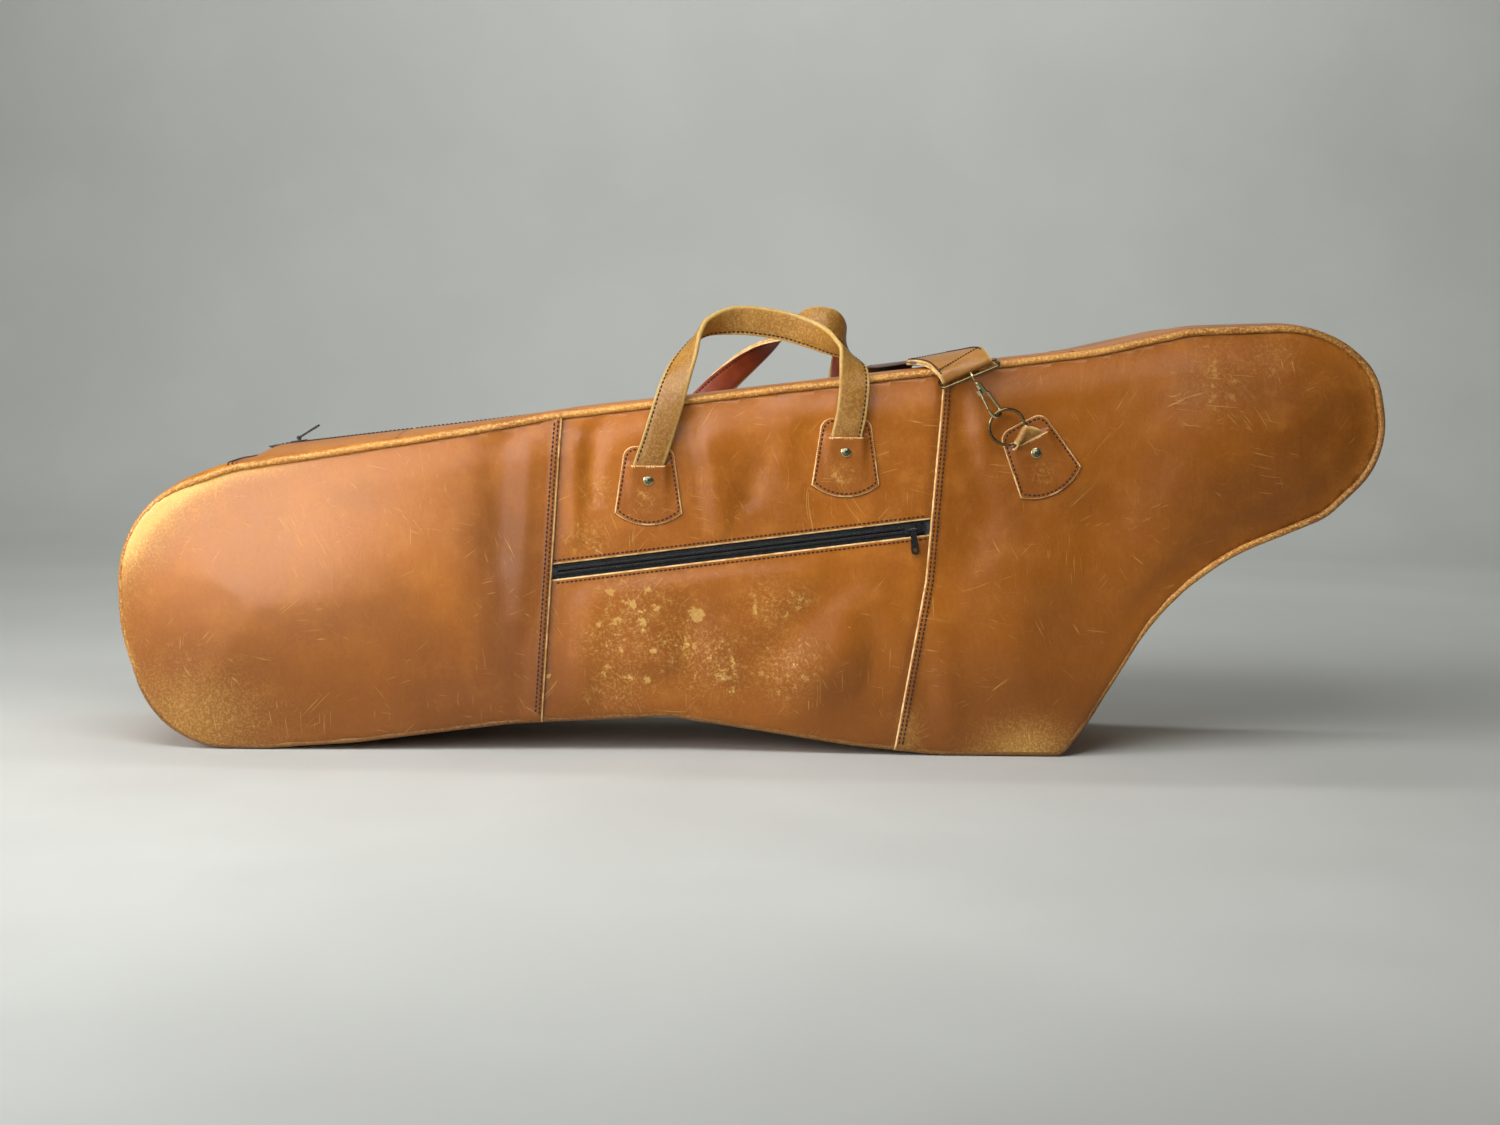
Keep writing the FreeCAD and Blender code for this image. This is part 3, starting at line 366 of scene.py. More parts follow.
def near_any(points, others, reach):
    """Which points have one of the others within reach."""
    return nearest_squared(points[:, 0], points[:, 1], np.array([tuple(p) for p in others])) < reach ** 2


def triangulate(boundary, spacing, rows=(), holes=()):
    """Evenly spaced points in a boundary, joined to triangles. rows are more points to pass through."""
    loop = np.array([tuple(p) for p in boundary])
    low, high = loop.min(axis=0), loop.max(axis=0)
    grid = []
    for k, z in enumerate(np.arange(low[1], high[1], spacing * 0.866)):
        shift = spacing / 2 * (k % 2)
        grid += [(x + shift, z) for x in np.arange(low[0], high[0], spacing)]
    grid = np.array(grid)
    grid = grid[inside(grid, boundary)]
    grid = grid[~near_any(grid, boundary, spacing * 0.6)]
    if rows:
        kept = np.array([tuple(p) for p in rows])
        kept = kept[inside(kept, boundary)]
        kept = kept[~near_any(kept, boundary, 1.0)]
        grid = grid[~near_any(grid, kept, spacing * 0.55)]
        grid = np.vstack([grid, kept])
    points = [Vector(p) for p in boundary]
    edges = [(i, (i + 1) % len(boundary)) for i in range(len(boundary))]
    for hole in holes:
        first = len(points)
        grid = grid[~inside(grid, hole)]
        grid = grid[~near_any(grid, hole, spacing * 0.5)]
        points += [Vector(p) for p in hole]
        edges += [(first + i, first + (i + 1) % len(hole)) for i in range(len(hole))]
    points += [Vector(p) for p in grid]
    kind = 4 if holes else 1
    found, _, faces, *_ = geometry.delaunay_2d_cdt(points, edges, [], kind, 1e-4)
    return found, [tuple(f) for f in faces]


def slab_from(points, faces, top, bottom):
    """Closes a flat triangulation into a solid: vertices, faces and their materials, 1 for the rim."""
    count = len(points)
    used = dict.fromkeys((a, b) for face in faces for a, b in zip(face, face[1:] + face[:1]))
    vertices = [tuple(p) for p in top] + [tuple(p) for p in bottom]
    below = [tuple(i + count for i in reversed(face)) for face in faces]
    sides = [(b, a, a + count, b + count) for a, b in used if (b, a) not in used]
    return vertices, faces + below + sides, [0] * (len(faces) + len(below)) + [1] * len(sides)


def face_slab(name, points, faces, outer, inner, materials, pale=()):
    """A slab over a flat triangulation between two values of y. pale tells which faces show a cut edge."""
    x, z = xz(points)
    outer, inner = (np.column_stack([x, np.broadcast_to(y, len(x)), z]) for y in (outer, inner))
    vertices, faces, indices = slab_from(points, faces, outer, inner)
    indices[:len(pale)] = pale
    return tidy_normals(make_object(name, vertices, faces, materials, indices if len(materials) > 1 else None))


def leather_panel(name, boundary, height, front, cut_distance=None, rows=()):
    """A panel of a face, in a boundary of x and z, standing at height(x, z) from the middle plane.

    cut_distance(x, z) is the distance from a cut edge that shows as a pale line."""
    side = -1 if front else 1
    points, faces = triangulate(boundary, PANEL_GRID, rows)
    x, z = xz(points)
    y = height(x, z, front)
    pale = []
    if cut_distance is not None:
        pale = [int(cut_distance(x[list(f)].mean(), z[list(f)].mean()) < CUT_EDGE) for f in faces]
    piece = face_slab(name, points, faces, side * y, side * (y - LEATHER), [TAN, RAW], pale)
    set_attribute(piece, "edge", np.tile(edge_distance(x, z), 2))
    return piece


def loft(rings, vertices, faces, closed=False):
    """Adds a skin over rings of points to lists of vertices and faces, with ends unless it is closed."""
    first, sides, count = len(vertices), len(rings[0]), len(rings)
    for ring in rings:
        vertices += ring
    for i in range(count if closed else count - 1):
        here, ahead = first + i * sides, first + (i + 1) % count * sides
        faces += [(here + k, here + (k + 1) % sides, ahead + (k + 1) % sides, ahead + k) for k in range(sides)]
    if not closed:
        faces.append(tuple(first + k for k in range(sides))[::-1])
        faces.append(tuple(first + (count - 1) * sides + k for k in range(sides)))


def lengths(points):
    """Distances along a path of vectors."""
    total = [0.0]
    for a, b in zip(points, points[1:]):
        total.append(total[-1] + (b - a).length)
    return total


def sampler(values, total):
    """A function that gives the vector at a distance along a path, from its values at the path's points."""
    table = np.array([list(v) for v in values])
    return lambda at: Vector([np.interp(at, total, table[:, k]) for k in range(3)])


def circle(centre, across, out, radius, count):
    """Points on a circle."""
    turns = [2 * math.pi * k / count for k in range(count)]
    return [centre + (across * math.cos(t) + out * math.sin(t)) * radius for t in turns]


def stitches(name, rows, body="root", pitch=STITCH_PITCH, length=STITCH_LENGTH):
    """Thread along rows of (point, outward direction); each stitch arches out and dips in at its holes."""
    vertices, faces = [], []
    for row in rows:
        total = lengths([p for p, _ in row])
        point_at, out_at = (sampler([station[k] for station in row], total) for k in (0, 1))
        start = pitch * 0.3
        while start + length < total[-1]:
            first, last = point_at(start), point_at(start + length)
            out = out_at(start + length / 2).normalized()
            across = (last - first).normalized().cross(out).normalized()
            loft([circle(first.lerp(last, share) + out * (lift * THREAD / 0.55), across, out, THREAD * scale, 5)
                  for share, scale, lift in STITCH_PROFILE], vertices, faces)
            start += pitch
    piece = tidy_normals(make_object(name, vertices, faces, [THREAD_BROWN], None, body))
    return piece


# ---------------------------------------------------------------- materials

def srgb(red, green, blue):
    """Linear colour from 0 to 255 display values."""
    def linear(value):
        value /= 255
        return value / 12.92 if value <= 0.04045 else ((value + 0.055) / 1.055) ** 2.4
    return linear(red), linear(green), linear(blue), 1.0


class Nodes:
    """A short way to write a node material. Inputs are values or sockets."""

    def __init__(self, name, roughness, metallic=0.0, specular=0.5):
        self.material = bpy.data.materials.new(name)
        self.material.use_nodes = True
        self.tree = self.material.node_tree
        self.shader = self.tree.nodes["Principled BSDF"]
        self.join(self.shader, {"Roughness": roughness, "Metallic": metallic, "Specular IOR Level": specular})
        self.place = self.add("ShaderNodeTexCoord").outputs["Object"]

    def join(self, node, inputs):
        for key, value in inputs.items():
            if isinstance(value, bpy.types.NodeSocket):
                self.tree.links.new(value, node.inputs[key])
            else:
                node.inputs[key].default_value = value

    def add(self, kind, inputs=None, **settings):
        node = self.tree.nodes.new(kind)
        for key, value in settings.items():
            setattr(node, key, value)
        self.join(node, inputs or {})
        return node

    def mapped(self, scale=(1.0, 1.0, 1.0), rotation=(0.0, 0.0, 0.0), source=None):
        return self.add("ShaderNodeMapping", {
            "Vector": source or self.place, "Scale": scale, "Rotation": rotation}).outputs[0]

    def noise(self, scale, detail=4.0, roughness=0.55, place=None, distortion=0.0):
        return self.add("ShaderNodeTexNoise", {
            "Vector": place or self.place, "Scale": scale, "Detail": detail,
            "Roughness": roughness, "Distortion": distortion}).outputs["Fac"]

    def ramp(self, value, low, high, to_low=0.0, to_high=1.0):
        return self.add("ShaderNodeMapRange", {
            "Value": value, "From Min": low, "From Max": high, "To Min": to_low, "To Max": to_high},
            interpolation_type="SMOOTHSTEP").outputs[0]

    def math(self, kind, a, b):
        return self.add("ShaderNodeMath", {0: a, 1: b}, operation=kind).outputs[0]

    def times(self, a, b):
        return self.math("MULTIPLY", a, b)

    def vector(self, kind, inputs):
        return self.add("ShaderNodeVectorMath", inputs, operation=kind).outputs

    def mix(self, share, a, b):
        return self.add("ShaderNodeMix", {0: share, 6: a, 7: b}, data_type="RGBA").outputs[2]

    def attribute(self, name):
        return self.add("ShaderNodeAttribute", attribute_name=name).outputs["Fac"]

    def bump(self, height, strength, distance, under=None):
        inputs = {"Height": height, "Strength": strength, "Distance": distance}
        if under:
            inputs["Normal"] = under
        normal = self.add("ShaderNodeBump", inputs).outputs[0]
        self.join(self.shader, {"Normal": normal})
        return normal


def streaks(nodes, turn, across, along, threshold):
    """Thin short curved marks in about one direction, in patches."""
    wander = nodes.add("ShaderNodeTexNoise", {"Vector": nodes.place, "Scale": 9.0, "Detail": 1.0}).outputs["Color"]
    bent = nodes.vector("ADD", {0: nodes.place, 1: nodes.vector("SCALE", {0: wander, "Scale": 0.035})[0]})[0]
    turned = nodes.mapped(rotation=(0.0, turn, 0.0), source=bent)
    lines = nodes.noise(1.0, 0.0, 0.5, nodes.mapped((across, across * 0.2, along), source=turned))
    patches = nodes.noise(19.0, 2.0, 0.5, nodes.mapped(rotation=(0.3, turn, 0.9)))
    return nodes.times(nodes.ramp(lines, threshold, threshold + 0.05), nodes.ramp(patches, 0.54, 0.66))


def spots(nodes, places):
    """Round scuffs with ragged edges: places are x, z, radius and strength in millimetres."""
    ragged = nodes.times(nodes.math("SUBTRACT", nodes.noise(170.0, 4.0, 0.65), 0.5), 0.022)
    total = None
    for x, z, radius, strength in places:
        gap = nodes.vector("DISTANCE", {0: nodes.place, 1: (x * MM, SCUFF_Y * MM, z * MM)})["Value"]
        spot = nodes.ramp(nodes.math("ADD", gap, ragged), radius * MM * 1.12, radius * MM * 0.85, 0.0, strength)
        total = nodes.math("MAXIMUM", total, spot) if total else spot
    return total


# Scuffs through the finish of the pocket panel: x, z, radius and strength, at this y.
SCUFF_Y = -113.5
SCUFFS = [
    (-50, 133, 6.9, 0.6), (-99, 126, 5.3, 0.75), (-88, 136, 3.7, 0.7), (-109, 139, 5.1, 0.7), (-114, 145, 3.4, 0.7),
    (-124, 125, 3.4, 0.6), (-95, 154, 3.9, 0.55), (-130, 153, 3.4, 0.5), (-80, 105, 3.4, 0.6), (-120, 97, 3, 0.75),
    (-106, 96, 2.5, 0.6), (-94, 71, 2.3, 0.8), (-52, 103, 2.8, 0.5), (-108, 108, 3.2, 0.7), (-148, 113, 3, 0.4),
    (46, 147, 3.4, 0.5), (46, 139, 2.5, 0.5), (93, 121, 2.3, 0.7), (-30, 76, 3.2, 0.6), (-20, 74, 3, 0.5),
    (10, 79, 2.8, 0.5), (-188, 73, 3, 0.55), (-18, 60, 1.6, 0.6), (-62, 95, 1.8, 0.7),
]
# Scratches over the faces: direction, fineness across and along, and threshold.
SCRATCHES = [
    (0.5, 1100.0, 26.0, 0.75), (-0.75, 900.0, 20.0, 0.75), (1.45, 1000.0, 26.0, 0.76),
    (-1.2, 1050.0, 36.0, 0.76), (0.05, 950.0, 24.0, 0.75), (1.0, 700.0, 60.0, 0.78),
]


def leather(name, dark, middle, light, face=False, pale_edges=0.0, rubbed=0.0):
    """Worn leather. It reads a mesh attribute of painted shade, with pale_edges also "edge", and on a face the maps,
    one of them a painted sheen.
    """
    nodes = Nodes(name, 0.44, specular=0.42)
    mottle = nodes.noise(44.0, 6.0, 0.65)
    grainy = nodes.noise(230.0, 9.0, 0.86)
    layers = [
        (nodes.ramp(mottle, 0.46, 0.80, 0.0, 0.42), light),
        (nodes.ramp(nodes.noise(520.0, 4.0, 0.7), 0.54, 0.74, 0.0, 0.26), light),
        (nodes.ramp(grainy, 0.50, 0.72, 0.0, 0.34), light),
        (nodes.ramp(grainy, 0.50, 0.30, 0.0, 0.26), srgb(104, 54, 8))]
    if rubbed:
        layers.append((nodes.ramp(nodes.noise(420.0, 5.0, 0.8), 0.46, 0.60, 0.0, rubbed), srgb(228, 184, 104)))
    # Painted shade: a dark brown mixed in where the mesh marks shade.
    layers.append((nodes.attribute("painted_shade"), srgb(78, 38, 4)))
    if pale_edges:
        near = nodes.ramp(nodes.math("ADD", nodes.attribute("edge"), nodes.times(mottle, 5.0)), 6.2, 2.2)
        layers.append((nodes.times(near, pale_edges), srgb(220, 190, 112)))
    if face:
        layers += [(nodes.times(streaks(nodes, *scratch), 0.3), srgb(226, 180, 100)) for scratch in SCRATCHES]
        # Painted sheen: a pale pinkish colour over the upper bell end, standing in for a lamp's soft reflection.
        layers.append((nodes.attribute("painted_sheen"), srgb(200, 146, 106)))
        speckle = nodes.ramp(nodes.noise(430.0, 5.0, 0.8), 0.46, 0.62)
        worn, scuff = nodes.attribute("worn"), nodes.attribute("scuff")
        hazy = nodes.math("ADD", nodes.times(speckle, 0.55), nodes.times(worn, 0.5))
        marks = nodes.ramp(nodes.noise(95.0, 7.0, 0.72), 0.56, 0.66)
        dust = nodes.ramp(nodes.noise(330.0, 6.0, 0.85), 0.48, 0.64, 0.0, 0.42)
        layers += [
            (nodes.math("MINIMUM", nodes.times(worn, hazy), 0.85), srgb(232, 184, 98)),
            (nodes.times(nodes.times(scuff, marks), 0.75), srgb(230, 188, 104)),
            (nodes.times(scuff, dust), srgb(226, 184, 110)),
            (nodes.times(spots(nodes, SCUFFS), 0.7), srgb(216, 180, 98))]
    base = nodes.mix(nodes.ramp(nodes.noise(5.5, 3.0, 0.5), 0.34, 0.66), dark, middle)
    for share, colour in layers:
        base = nodes.mix(share, base, colour)
    nodes.join(nodes.shader, {"Base Color": base, "Roughness": nodes.ramp(mottle, 0.3, 0.8, 0.36, 0.52)})
    grain = nodes.add("ShaderNodeTexVoronoi", {"Vector": nodes.place, "Scale": 620.0}).outputs["Distance"]
    creases = nodes.noise(60.0, 8.0, 0.65, nodes.mapped((1.0, 1.0, 0.45)), 0.6)
    nodes.bump(creases, 0.25, 0.0022, nodes.bump(grain, 0.10, 0.0006))
    return nodes.material


def simple(name, colour, variation, roughness, scale, bump_scale, bump_strength, metallic=0.0):
    """A material with a little colour variation and a fine bump."""
    nodes = Nodes(name, roughness, metallic)
    varied = nodes.ramp(nodes.noise(scale * 2, 3.0), 0.3, 0.7, roughness * 0.85, roughness * 1.2)
    base = nodes.mix(nodes.ramp(nodes.noise(scale, 4.0), 0.35, 0.7), colour, variation)
    nodes.join(nodes.shader, {"Base Color": base, "Roughness": varied})
    nodes.bump(nodes.noise(bump_scale, 3.0), bump_strength, 0.0004)
    return nodes.material


# The face and handle leathers carry painted shade as well as wear; the face leather also a painted sheen.
TAN = leather("tan_leather_worn", srgb(144, 80, 8), srgb(168, 96, 12), srgb(188, 118, 22), True)
GUSSET = leather("tan_leather_gusset", srgb(152, 88, 22), srgb(180, 110, 34), srgb(204, 142, 60))
WELT = leather("welt_leather", srgb(146, 84, 20), srgb(186, 120, 42), srgb(222, 172, 88), rubbed=0.75)
PALE = leather("handle_leather_worn", srgb(130, 84, 28), srgb(160, 112, 42), srgb(194, 150, 76), False, 0.5, 0.3)
RAW = simple("cut_leather_edge", srgb(228, 194, 136), srgb(186, 140, 78), 0.8, 110.0, 900.0, 0.5)
# A darker, redder copy of the handle leather: painted shade on the side of the rear handle that stands in shade.
SHADED_HANDLE_RED = simple("handle_inner_leather", srgb(112, 44, 20), srgb(140, 62, 28), 0.5, 40.0, 500.0, 0.4)
THREAD_BROWN = simple("dark_thread", srgb(34, 18, 12), srgb(62, 32, 18), 0.7, 300.0, 2500.0, 0.6)
NYLON = simple("black_zip_nylon", srgb(16, 17, 19), srgb(30, 31, 34), 0.42, 200.0, 1500.0, 0.3)
TAPE_CLOTH = simple("black_zip_tape", srgb(14, 14, 16), srgb(26, 26, 29), 0.85, 160.0, 2200.0, 0.8)
LACQUER = simple("black_lacquer", srgb(22, 22, 24), srgb(34, 34, 36), 0.3, 90.0, 700.0, 0.08)
BRASS = simple("antique_brass", srgb(104, 90, 62), srgb(134, 116, 80), 0.26, 60.0, 300.0, 0.02, 1.0)
PALE_BRASS = simple("pale_brass", srgb(190, 176, 130), srgb(208, 196, 152), 0.2, 60.0, 300.0, 0.02, 1.0)
PATCH = leather("patch_leather", srgb(138, 76, 10), srgb(160, 90, 14), srgb(184, 114, 28), True)
TAB = leather("tab_leather", srgb(136, 88, 32), srgb(158, 108, 46), srgb(190, 142, 74), False, 0.5)
STEEL = simple("antique_nickel", srgb(96, 94, 72), srgb(128, 124, 98), 0.3, 160.0, 400.0, 0.04, 1.0)
LINING = simple("black_lining", srgb(20, 20, 23), srgb(32, 32, 36), 0.9, 60.0, 1800.0, 0.7)
FOAM = simple("grey_foam", srgb(70, 70, 72), srgb(88, 88, 90), 0.95, 90.0, 900.0, 0.6)
WEB = simple("grey_webbing", srgb(104, 92, 86), srgb(126, 114, 107), 0.9, 500.0, 1600.0, 0.8)


# ---------------------------------------------------------------- faces

# Areas of fine scuffs: x, z and radius.
SCUFF_AREAS = [
    (-102, 124, 40), (-70, 110, 34), (-130, 110, 26), (-40, 90, 34), (-20, 78, 26), (30, 86, 30), (48, 148, 12),
    (-120, 68, 26), (20, 140, 26), (-150, 206, 16), (-140, 250, 12), (430, 360, 40), (480, 380, 26),
]


def scuff_map(x, z):
    """Where the pocket panel, the upper panel and the neck are scuffed."""
    result = np.zeros(len(x))
    for at_x, at_z, radius in SCUFF_AREAS:
        result = np.maximum(result, np.exp(-(((x - at_x) ** 2 + (z - at_z) ** 2) / radius ** 2)))
    return result * (1 - 0.68 * (x > 200))


def worn_map(x, z):
    """How far the finish is rubbed off towards the corners and the ends."""
    depth = edge_distance(x, z)
    top_left = hump(x, z, -575, 238, 64, 66) * (1 - smooth(depth, 2.0, 70.0))
    along_top = smooth(-x, 380.0, 470.0) * smooth(z, 150.0, 230.0) * (1 - smooth(depth, 2.0, 26.0)) * 0.9
    left = smooth(-x, 540.0, 590.0) * (1 - smooth(depth, 0.0, 40.0)) * 0.14
    low_left = hump(x, z, -520, 30, 66, 50) * 0.56
    low_right = hump(x, z, 262, 10, 46, 26) * 0.7
    foot = hump(x, z, 150, 20, 12, 26) * 0.5
    nose = smooth(x, 520.0, 590.0) * (1 - smooth(depth, 4.0, 30.0)) * 0.3
    edges = (1 - smooth(depth, 4.0, 10.0)) * 0.16
    total = top_left * 1.2 + along_top + left + low_left + low_right + foot + nose + edges
    return np.clip(total, 0, 1.2)


def painted_shade_map(x, z):
    """Painted shade: how much darker the leather is drawn low down, towards the neck, in the valley beside the left
    seam, in a dent and creases, under the welt along the top and beside the lapped seams.
    """
    low = 0.64 * (1 - smooth(z, 0.0, 200.0)) * (1 - 0.45 * np.exp(-((x + 60) / 130) ** 2))
    neck = 0.36 * smooth(x, 130.0, 300.0) * (1 - 0.75 * smooth(z, 335.0, 392.0))
    neck = neck * (1 - 0.8 * smooth(x, 500.0, 590.0))
    valley_shade = 0.56 * np.exp(-((x + 226) / 46) ** 2) * (1 - smooth(z, 200.0, 300.0))
    # Painted shade in a dent and two creases of the front.
    dents = 0.16 * hump(x, z, 80, 74, 34, 40)
    creases = 0.16 * hump(x, z, -63, 280, 13, 40) + 0.14 * hump(x, z, -4, 240, 14, 26)
    # Painted shadow under the welt along the top and beside the lapped seams.
    under = 0.30 * (1 - smooth(edge_distance(x, z), 5.8, 12.0)) * smooth(z, 200.0, 300.0)
    for seam, sign in ((LEFT_SEAM, 1), (RIGHT_SEAM, -1)):
        beside = sign * (x - seam_x(seam, z))
        under = np.maximum(under, 0.45 * np.exp(-(beside / 5.0) ** 2) * (beside > 0))
        under = np.maximum(under, 0.2 * np.exp(-((beside + 5.0) / 5.5) ** 2))
    dents = dents + creases + under
    return np.clip(np.maximum(np.maximum(low, neck), valley_shade) + 0.4 * np.minimum(low, neck) + dents, 0, 0.6)


def painted_sheen_map(x, z):
    """Painted sheen: where the upper bell end is drawn paler and pinker, standing in for the soft reflection of a
    lamp.
    """
    return 0.38 * hump(x, z, -440, 225, 150, 95)


def offset_line(points, distance):
    """A path moved sideways: positive to the left of its direction."""
    result = []
    for i, p in enumerate(points):
        run = (points[min(i + 1, len(points) - 1)] - points[max(i - 1, 0)]).normalized()
        result.append(p + Vector((-run.y, run.x)) * distance)
    return result


def seam_line(seam):
    """Evenly spaced points on a seam."""
    return dense([Vector(p) for p in seam], 2.5, False)


def pocket_line():
    """Start, end and direction of the pocket zip on the face."""
    start, end = Vector(POCKET_ZIP[0]), Vector(POCKET_ZIP[1])
    return start, end, (end - start).normalized()


def face_outline():
    """The outline of a face, which reaches further out where it hangs over its welt."""
    points = outline(PANEL_INSET)
    result = []
    for i, p in enumerate(points):
        run = (points[(i + 1) % len(points)] - points[i - 1]).normalized()
        reach = float(overhang(np.array([p.x]), np.array([p.y]))[0])
        result.append(p + Vector((-run.y, run.x)) * (reach * (PANEL_INSET - 1.0)))
    return result


def face_panels(side_name, front):
    """The leather panels of a face."""
    whole = face_outline()
    offsets = (1.4, 3.2, 4.9, 6.6, 8.2, 9.6, 12.0)
    left = dense(clip(whole, LEFT_SEAM[1], LEFT_SEAM[0]), 3.0)
    pieces = []
    for place, boundary, height, seam, sign in (("left", left, left_height, LEFT_SEAM, -1),
                                                ("right", right_boundary(whole), right_height, RIGHT_SEAM, 1)):
        rows = [p for gap in offsets for p in offset_line(seam_line(seam), sign * gap)]
        piece = leather_panel(f"{side_name}_{place}_leather", boundary, height, front,
                              lambda x, z: sign * (x - float(seam_x(seam, z))), rows)
        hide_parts(f"{side_name}_{place}_panel")
        pieces.append(piece)
    middle = middle_boundary(whole)
    if front:
        start, end, run = pocket_line()
        up, far = Vector((-run.y, run.x)) * ZIP_OPENING, run * 80
        line = dense([start - run * 6, end + run * 6], 3.0, False)
        rows = [p for gap in (1.3, 2.6, 4.2, 6.5) for sign in (-1, 1)
                for p in offset_line(line, sign * (ZIP_OPENING + gap))]
        cuts = (("upper", start + up - far, end + up + far), ("pocket", end - up + far, start - up - far))
        for place, a, b in cuts:
            piece = leather_panel(f"front_{place}_leather", dense(clip(middle, a, b), 3.0), middle_height, True,
                                  lambda x, z: abs((Vector((x, z)) - start).cross(run)) - ZIP_OPENING, rows)
            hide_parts(f"front_{place}_panel")
            pieces.append(piece)
    else:
        piece = leather_panel("rear_middle_leather", middle, middle_height, False)
        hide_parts("rear_middle_panel")
        pieces.append(piece)
    for piece in pieces:
        points = np.array([tuple(v.co) for v in piece.data.vertices]) / MM
        x, z = points[:, 0], points[:, 2]
        set_attribute(piece, "scuff", scuff_map(x, z) if front else np.zeros(len(x)))
        set_attribute(piece, "worn", worn_map(x, z))
        set_attribute(piece, "painted_shade", painted_shade_map(x, z))
        set_attribute(piece, "painted_sheen", painted_sheen_map(x, z))


def face_foam(name, side):
    """Foam behind the leather of a face, and no nearer to it than a pocket's thickness."""
    points, faces = triangulate(dense(outline(9.0), 8.0), 14.0)
    y = np.minimum(face_height(*xz(points), side < 0) - 3.2, FOAM_FRONT_Y)
    piece = face_slab(name + "_foam", points, faces, side * y, side * FOAM_BACK_Y, [FOAM])
    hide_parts(name + "_padding")


def right_boundary(whole):
    """The part of the outline to the right of the bent right seam."""
    beyond = [p.x - float(seam_x(RIGHT_SEAM, p.y)) for p in whole]
    cut = [p for p, past in zip(whole, beyond) if past > 0]
    crossings = [a.lerp(b, before / (before - after))
                 for a, b, before, after in zip(whole, whole[1:] + whole[:1], beyond, beyond[1:] + beyond[:1])
                 if (before > 0) != (after > 0)]
    first = max(range(len(cut)), key=lambda i: (cut[i] - cut[i - 1]).length)
    run = cut[first:] + cut[:first]
    end, start = sorted(crossings, key=lambda p: (p - run[-1]).length)
    steps = max(2, round(abs(end.y - start.y) / 2.5))
    heights = [end.y + (start.y - end.y) * k / steps for k in range(steps + 1)]
    return run + [Vector((float(seam_x(RIGHT_SEAM, z)), z)) for z in heights]


def middle_boundary(whole):
    """The middle of a face, reaching 6 mm under both side panels."""
    under = 6.0

    def left_at(z):
        return float(seam_x(LEFT_SEAM, z)) - under

    def right_at(z):
        return float(seam_x(RIGHT_SEAM, z)) + under

    keep = [p for p in whole if left_at(p.y) < p.x < right_at(p.y)]
    upper = sorted((p for p in keep if p.y > 150), key=lambda p: p.x)
    lower = sorted((p for p in keep if p.y <= 150), key=lambda p: -p.x)
    right = [Vector((right_at(z), z)) for z in np.arange(upper[-1].y - 2.5, lower[0].y + 2.5, -2.5)]
    left = [Vector((left_at(z), z)) for z in np.arange(lower[-1].y + 2.5, upper[0].y - 2.5, 2.5)]
    return upper + right + lower + left


def face_row(points, height, front):
    """Stitch stations on a face, from points of x and z."""
    side = -1 if front else 1
    x, z = xz(points)
    return [(Vector(p), Vector((0, side, 0))) for p in zip(x, side * height(x, z, front), z)]


def within(points, inset):
    """The points that are inside the outline by more than inset."""
    x, z = xz(points)
    mask = inside(np.column_stack([x, z]), EDGE) & (edge_distance(x, z) > inset)
    return [p for p, good in zip(points, mask) if good]


def face_stitching(name, front):
    """Rows of stitches beside the seams of a face and the pocket zip."""
    rows = [face_row(within(offset_line(seam_line(seam), sign * gap), 6.5), height, front)
            for seam, height, sign in ((LEFT_SEAM, left_height, -1), (RIGHT_SEAM, right_height, 1))
            for gap in SEAM_STITCHES]
    stitches(name + "_seam_stitches", rows)
    if front:
        start, end, run = pocket_line()
        line = dense([start + run * 1.5, end - run * 1.5], 2.5, False)
        rows = [face_row(offset_line(line, sign * (ZIP_OPENING + ZIP_STITCHES)), middle_height, True)
                for sign in (-1, 1)]
        stitches("pocket_zip_stitches", rows)


# ---------------------------------------------------------------- welts

def make_welt(name, side):
    """The leather roll in the seam round a face."""
    route = outline(WELT_INSET, 3.0)
    path = []
    for i, p in enumerate(route):
        run = (route[(i + 1) % len(route)] - route[i - 1]).normalized()
        wobble = noise.noise(Vector((p.x * 0.03, p.y * 0.03, side * 3.0))) * 0.35
        out = Vector((-run.y, 0, run.x))
        path.append((Vector((p.x, side * WELT_Y, p.y)) + out * wobble, out))
    rings = []
    for i, (point, out) in enumerate(path):
        tangent = (path[(i + 1) % len(path)][0] - path[i - 1][0]).normalized()
        across = tangent.cross(out).normalized()
        square = across.cross(tangent)
        radius = WELT_RADIUS * (1 + 0.05 * noise.noise(point * 0.08) + 0.03 * noise.noise(point * 0.35))
        turns = [2 * math.pi * k / 12 for k in range(12)]
        rings.append([point + across * (radius * math.cos(t)) + square * (radius * math.sin(t)) for t in turns])
    vertices, faces = [], []
    loft(rings, vertices, faces, closed=True)
    piece = tidy_normals(make_object(f"{name}_welt_roll", vertices, faces, [WELT]))
    places = np.array([tuple(v.co) for v in piece.data.vertices]) / MM
    # Painted shade: the welt drawn darker towards the bottom and at the nose.
    low = 0.62 * (1 - smooth(places[:, 2], 24.0, 90.0)) + 0.3 * (1 - smooth(places[:, 2], 90.0, 230.0))
    low = np.maximum(low, 0.42 * smooth(places[:, 0], 470.0, 560.0))
    set_attribute(piece, "painted_shade", np.minimum(low, 0.7))
    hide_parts(f"{name}_welt")


# ---------------------------------------------------------------- gusset

